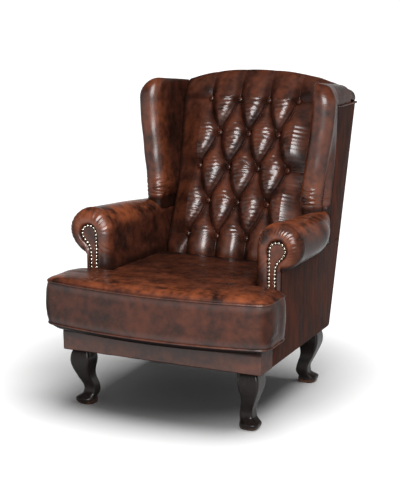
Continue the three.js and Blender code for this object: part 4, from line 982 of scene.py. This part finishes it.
def nails():
    inner = spread(scroll(-BAND_HALF_WIDTH, BAND_BOTTOM), BAND_POINTS)
    outer = spread(scroll(BAND_HALF_WIDTH, BAND_BOTTOM), BAND_POINTS)
    face = ARM_FRONT - GAP
    grid = np.array([at_depth(lerp(inner, outer, share), face - lift * BAND_THICKNESS)
                     for share, lift in BAND_PROFILE])
    # The band between the nails is darkened as painted shade
    band = sheet_piece("nail_band_left", grid, LEATHER, {"painted_shade": np.full(grid.shape[:2], 0.75)})
    middle = (inner + outer) / 2
    length = path_lengths(middle)[-1]
    number = int(length / NAIL_SPACING)
    points, faces = [], []
    for x, z in points_at(middle, (np.arange(number) + 0.5) * length / number):
        centre = Vector((x, face - BAND_THICKNESS, z))
        add_dome(points, faces, centre, Vector((0, -1, 0)), NAIL_RADIUS, NAIL_DOME, NAIL_PROFILE, NAIL_TURNS)
    studs = mesh_piece("nails_left", points, faces, NAIL_METAL)
    settle_pair(band, "nail_trim")
    settle_pair(studs, "nail_trim", slot="nail_metal")


# Outside covers

def panel(name, outline, place):
    """A padded panel: an outline in its own plane, with softly turned edges, set in place by a function."""
    ring = ring_of(outline, 400)
    tangent = np.roll(ring, -1, axis=0) - np.roll(ring, 1, axis=0)
    normal = np.column_stack([tangent[:, 1], -tangent[:, 0]])
    normal /= np.maximum(np.linalg.norm(normal, axis=1, keepdims=True), 1e-9)
    area = 0.5 * np.sum(ring[:, 0] * np.roll(ring[:, 1], -1) - np.roll(ring[:, 0], -1) * ring[:, 1])
    inward = -normal if area > 0 else normal
    side = SKIN + PANEL_LIFT - PANEL_ROUNDING
    rings = [place(ring, 0)]
    for turn in np.radians(np.linspace(0, 90, 6)):
        shift = PANEL_ROUNDING * (1 - math.cos(turn))
        rings.append(place(ring + inward * shift, side + PANEL_ROUNDING * math.sin(turn)))
    grid = np.array(rings)
    # Painted shade on the panel's turned edge
    painted_shade = np.zeros(grid.shape[:2])
    painted_shade[:4] = 0.7
    return sheet_piece(name, grid, PANEL_LEATHER, {"painted_shade": painted_shade}, closed=True, caps=(True, True))


def on_side(ring, out):
    return at_side(ring, BODY_HALF - SKIN + out)


def on_back(ring, out):
    inset = SKIN - out
    y = BASE_DEPTH + ring[:, 1] * math.sin(BACK_RAKE) - inset * math.cos(BACK_RAKE)
    z = RAIL_BOTTOM + ring[:, 1] * math.cos(BACK_RAKE) + inset * math.sin(BACK_RAKE)
    return np.column_stack([ring[:, 0], y, z])


def outside_panels():
    def rear(z):
        return (back_depth(z, SKIN + GAP), z)

    front, step, shelf = BORDER_RETURN + GAP, ARM_FRONT + FACING, DECK_TOP + GAP
    arm_outline = [(front, RAIL_BOTTOM), rear(RAIL_BOTTOM), rear(OUTSIDE_SEAM), (step, OUTSIDE_SEAM),
                   (step, shelf), (front, shelf)]
    levels = np.linspace(OUTSIDE_SEAM + GAP, FLAP_HEIGHT - 2 * GAP, 60)
    wing_outline = [rear(z) for z in levels] + [(float(wing_seam(z)), z) for z in levels[::-1]]
    for node, outline in (("outside_arm", arm_outline), ("outside_wing", wing_outline)):
        settle_pair(panel(f"{node}_panel_left", np.array(outline), on_side), node)
    top = (FLAP_HEIGHT - RAIL_BOTTOM) / math.cos(BACK_RAKE) - SKIN * math.tan(BACK_RAKE) - GAP * 2
    back_outline = [(-BODY_HALF, 0), (BODY_HALF, 0), (BODY_HALF, top), (-BODY_HALF, top)]
    back = panel("outside_back_panel", np.array(back_outline), on_back)
    settle(back, "chair", "leather", "outside_back")


def border():
    """The front border's leather, wrapped round both front corners."""
    half = BODY_HALF + GAP
    corner_x, corner_y = half - BORDER_CORNER, BORDER_CORNER - GAP
    path = np.vstack([[(-half, BORDER_RETURN)],
                      arc(-corner_x, corner_y, BORDER_CORNER, np.linspace(180, 270, 8)),
                      arc(corner_x, corner_y, BORDER_CORNER, np.linspace(270, 360, 8)),
                      [(half, BORDER_RETURN)]])
    flat = spread(path, 320)
    tangent = np.gradient(flat, axis=0)
    out = np.column_stack([tangent[:, 1], -tangent[:, 0]])
    out /= np.linalg.norm(out, axis=1, keepdims=True)
    swells = np.sin(np.linspace(0, np.pi, 24)) ** 0.5
    rows = [at_height(flat + out * (BORDER_SWELL * swell - 0.0008), z)
            for z, swell in zip(np.linspace(RAIL_BOTTOM, DECK_TOP, 24), swells)]
    turned_in = rows[0] * [0.985, 1, 1] + [0, 0.006, 0.001]
    grid = np.array([turned_in] + rows)
    grid += grid_normals(grid) * (0.0005 * wander(grid * [1, 1, 2], 0.09, 31))[..., None]
    # Painted shadow of the cushion's overhang along the border's top; below it wear and painted sheen
    painted_shade = smoothstep(grid[..., 2], DECK_TOP - 0.022, DECK_TOP - 0.004) * 0.8
    piece = sheet_piece("border_leather", grid, LEATHER, {"painted_shade": painted_shade, "wear_and_sheen": 0.25 * (1 - painted_shade)})
    settle(piece, "chair", "leather", "front_border")


def cord_along(name, path, closed, worn=0.35):
    """A piping along a path of points."""
    if closed:
        tangent = np.roll(path, -1, axis=0) - np.roll(path, 1, axis=0)
    else:
        tangent = np.gradient(path, axis=0)
    tangent /= np.linalg.norm(tangent, axis=1, keepdims=True)
    side = np.cross(tangent, [0, 0, 1])
    side /= np.linalg.norm(side, axis=1, keepdims=True)
    up = np.cross(side, tangent)
    turns = np.linspace(0, 2 * np.pi, PIPING_SIDES, endpoint=False)
    across, along = np.cos(turns)[None, :, None], np.sin(turns)[None, :, None]
    rings = path[:, None] + PIPING_RADIUS * (side[:, None] * across + up[:, None] * along)
    if closed:
        rings = np.vstack([rings, rings[:1]])
    # Painted shade on the cord's underside; the rest gets wear and painted sheen
    painted_shade = np.where(np.cos(turns) < -0.3, 0.9, 0.0)[None, :] * np.ones((len(rings), 1))
    wear_and_sheen = np.full(rings.shape[:2], worn)
    return sheet_piece(name, rings, PIPING_LEATHER, {"painted_shade": painted_shade, "wear_and_sheen": wear_and_sheen}, closed=True,
                       caps=(not closed, not closed))


def back_cord():
    """The piping under the crest's overhang, with its ends turned in behind the wings."""
    z = FLAP_HEIGHT - PIPING_RADIUS - GAP
    out = BODY_HALF + GAP + PIPING_RADIUS
    start = float(wing_seam(z)) + 0.010
    rear = back_depth(z, -(GAP + PIPING_RADIUS + 0.001))
    turned_in = arc(out - 0.008, start + 0.008, 0.008, np.linspace(-80, 0, 7))
    corner = arc(out - PIPING_CORNER, rear - PIPING_CORNER, PIPING_CORNER, np.linspace(0, 90, 8))
    half = np.vstack([turned_in, corner])
    flat = spread(np.vstack([half, (half * [-1, 1])[::-1]]), 400)
    piece = cord_along("crest_cord", at_height(flat, z), False, worn=0.1)
    settle(piece, "chair", "leather", "back_piping")


# Seat cushion

def cushion_outline(margin=0.0):
    """T-shaped outline seen from above, counter-clockwise from the middle of its front."""
    wide, body = CUSHION_HALF + margin, CUSHION_BODY_HALF + margin
    front, ear, rear = CUSHION_FRONT - margin, EAR_REAR + margin, CUSHION_REAR + margin
    corner, rear_corner = CUSHION_CORNER + margin, REAR_CORNER + margin
    xs = np.linspace(0, wide - corner, 30)
    bowed = np.column_stack([xs, front - CUSHION_BOW * (1 - (xs / (wide - corner)) ** 2)])
    half = np.vstack([
        bowed,
        arc(wide - corner, front + corner, corner, np.linspace(-90, 0, 16))[1:],
        arc(wide - EAR_CORNER, ear - EAR_CORNER, EAR_CORNER, np.linspace(0, 90, 12)),
        arc(body + STEM_CORNER, ear + STEM_CORNER, STEM_CORNER, np.linspace(270, 180, 8)),
        arc(body - rear_corner, rear - rear_corner, rear_corner, np.linspace(0, 90, 10)),
        [(0, rear)],
    ])
    return np.vstack([half, (half[1:-1] * [-1, 1])[::-1]])


def top_seam(y):
    return TOP_SEAM - CUSHION_REAR_FALL * np.clip(y / CUSHION_REAR, 0, 1)


def cushion_grid(seam):
    """Rings from the cushion's underside over its border to the middle of its top."""
    belly = ring_of(cushion_outline(CUSHION_BELLY), CUSHION_POINTS, rounding=3)
    heart = np.array([0, EAR_REAR * 0.6])
    rest = DECK_TOP + GAP * 2
    rings = [at_height(lerp(heart, seam, inward), lerp(rest, BOTTOM_SEAM, height))
             for inward, height in UNDERSIDE_RINGS]
    for q in np.linspace(0, 1, BORDER_RINGS):
        flat = lerp(seam, belly, math.sin(math.pi * q) ** 0.62)
        rings.append(at_height(flat, lerp(BOTTOM_SEAM, top_seam(flat[:, 1]), q)))
    rounded = 1 - 0.14 * (1 - np.cos(np.linspace(0, np.pi / 2, 26)[1:]))
    for inward in np.concatenate([rounded, np.linspace(0.845, 0.02, 46)]):
        flat = lerp(heart, seam, inward)
        up = (1 - inward ** 14) ** 0.5 * lerp(1, 0.86, inward ** 2)
        rings.append(at_height(flat, top_seam(flat[:, 1]) + CUSHION_CROWN * up))
    return np.array(rings)


def cushion():
    seam = ring_of(cushion_outline(), CUSHION_POINTS, rounding=3)
    grid = cushion_grid(seam)
    normals = outward_normals(grid)
    x, y, z = grid[..., 0], grid[..., 1], grid[..., 2]
    on_top = smoothstep(z, TOP_SEAM, TOP_SEAM + 0.012)
    border = smoothstep(z, BOTTOM_SEAM + 0.004, BOTTOM_SEAM + 0.03) * below(z, TOP_SEAM - 0.03, TOP_SEAM - 0.004)
    creases = wander(grid * [0.3, 1.3, 0], 0.07, 41) * smoothstep(y, -0.03, 0.10)
    swells = wander(grid * [0.7, 1, 0], 0.20, 42)
    folds = wander(grid * [1, 1, 0.35], 0.08, 43)
    offset = (CUSHION_CREASE * creases + CUSHION_SWELL * swells) * on_top + CUSHION_FOLD * folds * border
    for corner_x, phase in ((CUSHION_HALF - 0.02, 1.0), (-CUSHION_HALF + 0.02, 2.0)):
        across, rise = x - corner_x, z - BOTTOM_SEAM
        away = np.hypot(across, rise) * np.where(y < 0.02, 1, 9)
        turn = np.arctan2(rise, np.abs(across) + 1e-6)
        rays = np.sin(turn * 17 + phase + 1.5 * np.sin(away * 40))
        offset = offset + CUSHION_FOLD * rays * bell(away, 0.055, 0.030) * border
    grid = grid + normals * offset[..., None]
    # Painted shade along both seams, towards the back, on the underside, over the rear of the top and at the
    # ends of the border; the front of the top is lighter with wear and painted sheen
    near_seam = bell(z, TOP_SEAM, 0.005) + bell(z, BOTTOM_SEAM, 0.005)
    behind = smoothstep(y, 0.42, 0.50) * 0.8
    under = below(z, BOTTOM_SEAM, BOTTOM_SEAM + 0.004)
    shaded = smoothstep(y, 0.02, 0.26) * on_top * 0.55
    at_sides = border * lerp(0.28, 0.55, smoothstep(np.abs(x), CUSHION_HALF - 0.03, CUSHION_HALF))
    painted_shade = np.clip(near_seam * 0.7 + behind + under + shaded + at_sides, 0, 1)
    wear_and_sheen = np.clip(on_top * lerp(0.25, 1.0, below(y, -0.03, 0.05)) + border * 0.15, 0, 1)
    piece = sheet_piece("cushion_leather", grid, LEATHER, {"painted_shade": painted_shade, "wear_and_sheen": wear_and_sheen}, closed=True,
                        caps=(True, True))
    settle(piece, "cushion", "leather", "cushion_cover", "cushion_core", fill=0.8)
    for level, height in (("top", top_seam(seam[:, 1])), ("bottom", BOTTOM_SEAM)):
        cord = cord_along(f"cushion_cord_{level}", at_height(seam, height), True)
        settle(cord, "cushion", "leather", f"cushion_piping_{level}")


# Legs

def leg_rings():
    ups, outs, wides = [list(column)[::-1] for column in zip(*LEG_SHAPE)]
    rings = []
    for up in np.concatenate([[0.0], np.linspace(0.004, 1, 110)]):
        at = np.array([up])
        width = KNEE * through(ups, wides, at)[0]
        outer = LEG_INSET - KNEE * through(ups, outs, at)[0]
        cx, cy = BODY_HALF - outer - width / 2, outer + width / 2
        corner = width * (0.12 + 0.22 * below(up, 0.12, 0.24))
        side = width / 2 - corner
        corners = ((1, 1, 0), (-1, 1, 90), (-1, -1, 180), (1, -1, 270))
        outline = np.vstack([arc(cx + sx * side, cy + sy * side, corner, np.linspace(turn, turn + 90, 9))
                             for sx, sy, turn in corners])
        rings.append(at_height(ring_of(outline, 80), lerp(-LIFT, LEG_TOP, up)))
    return np.array(rings)


def leg_ear(reach):
    """A shaped block beside the knee: its outline in a vertical plane, as (distance from the knee, height)."""
    low = LEG_TOP - EAR_HEIGHT
    swept = np.linspace(0, 1, 14)
    curve = np.column_stack([reach * swept, low + EAR_HEIGHT * 0.38 * (1 - (1 - swept) ** 2) ** 0.5])
    outline = np.vstack([[(-EAR_ROOT, LEG_TOP), (-EAR_ROOT, low)], curve, [(reach, LEG_TOP)]])
    return ring_of(outline, EAR_POINTS)


def leg():
    """One leg with its two blocks, and its images at the other three corners."""
    grid = leg_rings()
    worn = bell(grid[..., 2] + LIFT, 0.004, 0.006)
    post = sheet_piece("leg_front_left_wood", grid, DARK_WOOD, {"wear_and_sheen": worn}, closed=True, caps=(True, True))
    knee_x, knee_y = BODY_HALF - LEG_INSET - KNEE, LEG_INSET + KNEE
    side_ear, front_ear = leg_ear(SIDE_EAR_REACH), leg_ear(FRONT_EAR_REACH)
    side_rows, front_rows = [], []
    for across, inward in [(0.0, 0.06), (0.0015, 0.0), (0.040, 0.0), (0.0415, 0.06)]:
        flat = lerp(side_ear, side_ear.mean(axis=0), inward)
        side_rows.append(at_side(flat + [knee_y, 0], knee_x + 0.003 + across))
        flat = lerp(front_ear, front_ear.mean(axis=0), inward)
        front_rows.append(at_depth(flat * [-1, 1] + [knee_x, 0], LEG_INSET + 0.001 + across))
    pieces = [(post, "leg_{}_wood")]
    for rows, part in ((side_rows, "side"), (front_rows, "front")):
        name = "leg_ear_" + part + "_{}_wood"
        ear = sheet_piece(name.format("front_left"), np.array(rows), DARK_WOOD, closed=True, caps=(True, True),
                          sharp=math.radians(50))
        pieces.append((ear, name))
    for source, name in pieces:
        right = mirrored(source, name.format("front_right"))
        made = {"front_left": source, "front_right": right}
        for corner, front in (("rear_left", source), ("rear_right", right)):
            made[corner] = reflected(front, name.format(corner), 1, BASE_DEPTH + 2 * FRONT)
        for corner, piece in made.items():
            settle(piece, "chair", "dark_wood", f"leg_{corner}")


# Nodes that keep their own shape

def dress_nodes():
    looks = {"seat_spring": STEEL, "leg_bolt": STEEL, "cushion_zip": STEEL, "seat_deck": BLACK_CLOTH,
             "dust_cover": BLACK_CLOTH}
    for name, node in frame["nodes"].items():
        found = [look for start, look in looks.items() if name.startswith(start)]
        node.data.materials.clear()
        node.data.materials.append(found[0] if found else FRAME_WOOD)


# Floor, light and camera

def floor():
    """A white floor that reaches the horizon. It throws less light back than the camera sees it give."""
    mesh = bpy.data.meshes.new("floor")
    reach = FLOOR_REACH
    corners = [(-reach, -reach, 0), (reach, -reach, 0), (reach, reach, 0), (-reach, reach, 0)]
    mesh.from_pydata(corners, [], [(0, 1, 2, 3)])
    look = Look("floor")
    seen = look.background_rays()
    color = look.blend(seen, srgb(205, 205, 205), srgb(252, 252, 252))
    away = look.add("VectorMath", {0: look.place, 1: GLOW_CENTRE}, operation="DISTANCE")["Value"]
    glow = look.times(seen, look.span(away, GLOW_FROM, GLOW_TO, 0.0, GLOW))
    look.plug(look.shader.inputs["Emission Strength"], glow)
    look.shader.inputs["Emission Color"].default_value = (1, 1, 1, 1)
    roughness = look.span(look.noise(3), 0.3, 0.7, 0.88, 0.92)
    mesh.materials.append(look.finish(color, roughness, Specular_IOR_Level=0.0))
    piece = bpy.data.objects.new("floor", mesh)
    bpy.context.scene.collection.objects.link(piece)


def studio():
    """A dim room with a white band above the horizon, so that the floor has no edge."""
    world = bpy.data.worlds.new("studio")
    world.use_nodes = True
    look = Nodes(world.node_tree, "Generated")
    rise = look.add("SeparateXYZ", {0: look.place})["Z"]
    band = look.times(look.background_rays(), look.span(rise, *BAND_TOP, 1.0, 0.0, kind="LINEAR"))
    background = world.node_tree.nodes["Background"]
    background.inputs["Color"].default_value = (1, 1, 1, 1)
    look.plug(background.inputs["Strength"], look.span(band, 0.0, 1.0, ROOM_LIGHT, 1.0, kind="LINEAR"))
    bpy.context.scene.world = world


def lamp(name, kind, place, aim, energy, **settings):
    data = bpy.data.lights.new(name, kind)
    data.energy = energy
    for setting, value in settings.items():
        setattr(data, setting, value)
    made = bpy.data.objects.new(name, data)
    made.location = place
    made.rotation_euler = (Vector(aim) - Vector(place)).to_track_quat("-Z", "Y").to_euler()
    bpy.context.scene.collection.objects.link(made)
    return made


def softbox(azimuth, distance, middle, width, height, radiance):
    """A large soft lamp that faces the chair."""
    turn = math.radians(azimuth)
    place = (math.sin(turn) * distance, -math.cos(turn) * distance, middle)
    energy = radiance * math.pi * width * height
    return lamp("softbox", "AREA", place, (0, 0, 0.7), energy, shape="RECTANGLE", size=width, size_y=height)


def lights():
    """A wide overhead light without gloss, and a softbox that lights the chair but not the floor."""
    overhead = lamp("overhead", "SUN", (0.5, 0.1, 3.0), (0, 0, 0), 2.4, angle=math.radians(45))
    overhead.visible_glossy = False
    front_light = softbox(azimuth=29, distance=2.6, middle=1.85, width=1.8, height=1.5, radiance=18.5)
    lit = bpy.data.collections.new("lit_by_softbox")
    for piece in [*frame["nodes"].values(), *(o for o in bpy.context.scene.objects if o.type == "MESH")]:
        if piece.name != "floor" and piece.name not in lit.objects:
            lit.objects.link(piece)
    front_light.light_linking.receiver_collection = lit


def camera():
    azimuth, elevation = math.radians(CAMERA_AZIMUTH), math.radians(CAMERA_ELEVATION)
    flat = math.cos(elevation)
    back = Vector((math.sin(azimuth) * flat, -math.cos(azimuth) * flat, math.sin(elevation)))
    data = bpy.data.cameras.new("camera")
    data.lens = CAMERA_LENS
    data.sensor_width = 36
    made = bpy.data.objects.new("camera", data)
    made.location = Vector(CAMERA_TARGET) + back * CAMERA_DISTANCE
    made.rotation_euler = (-back).to_track_quat("-Z", "Y").to_euler()
    bpy.context.scene.collection.objects.link(made)
    bpy.context.scene.camera = made


tufted_back()
button_rows()
crest_roll()
wing()
arm()
facing()
nails()
outside_panels()
border()
back_cord()
cushion()
leg()
dress_nodes()
floor()
studio()
lights()
camera()
bpy.context.scene.view_settings.view_transform = "Standard"
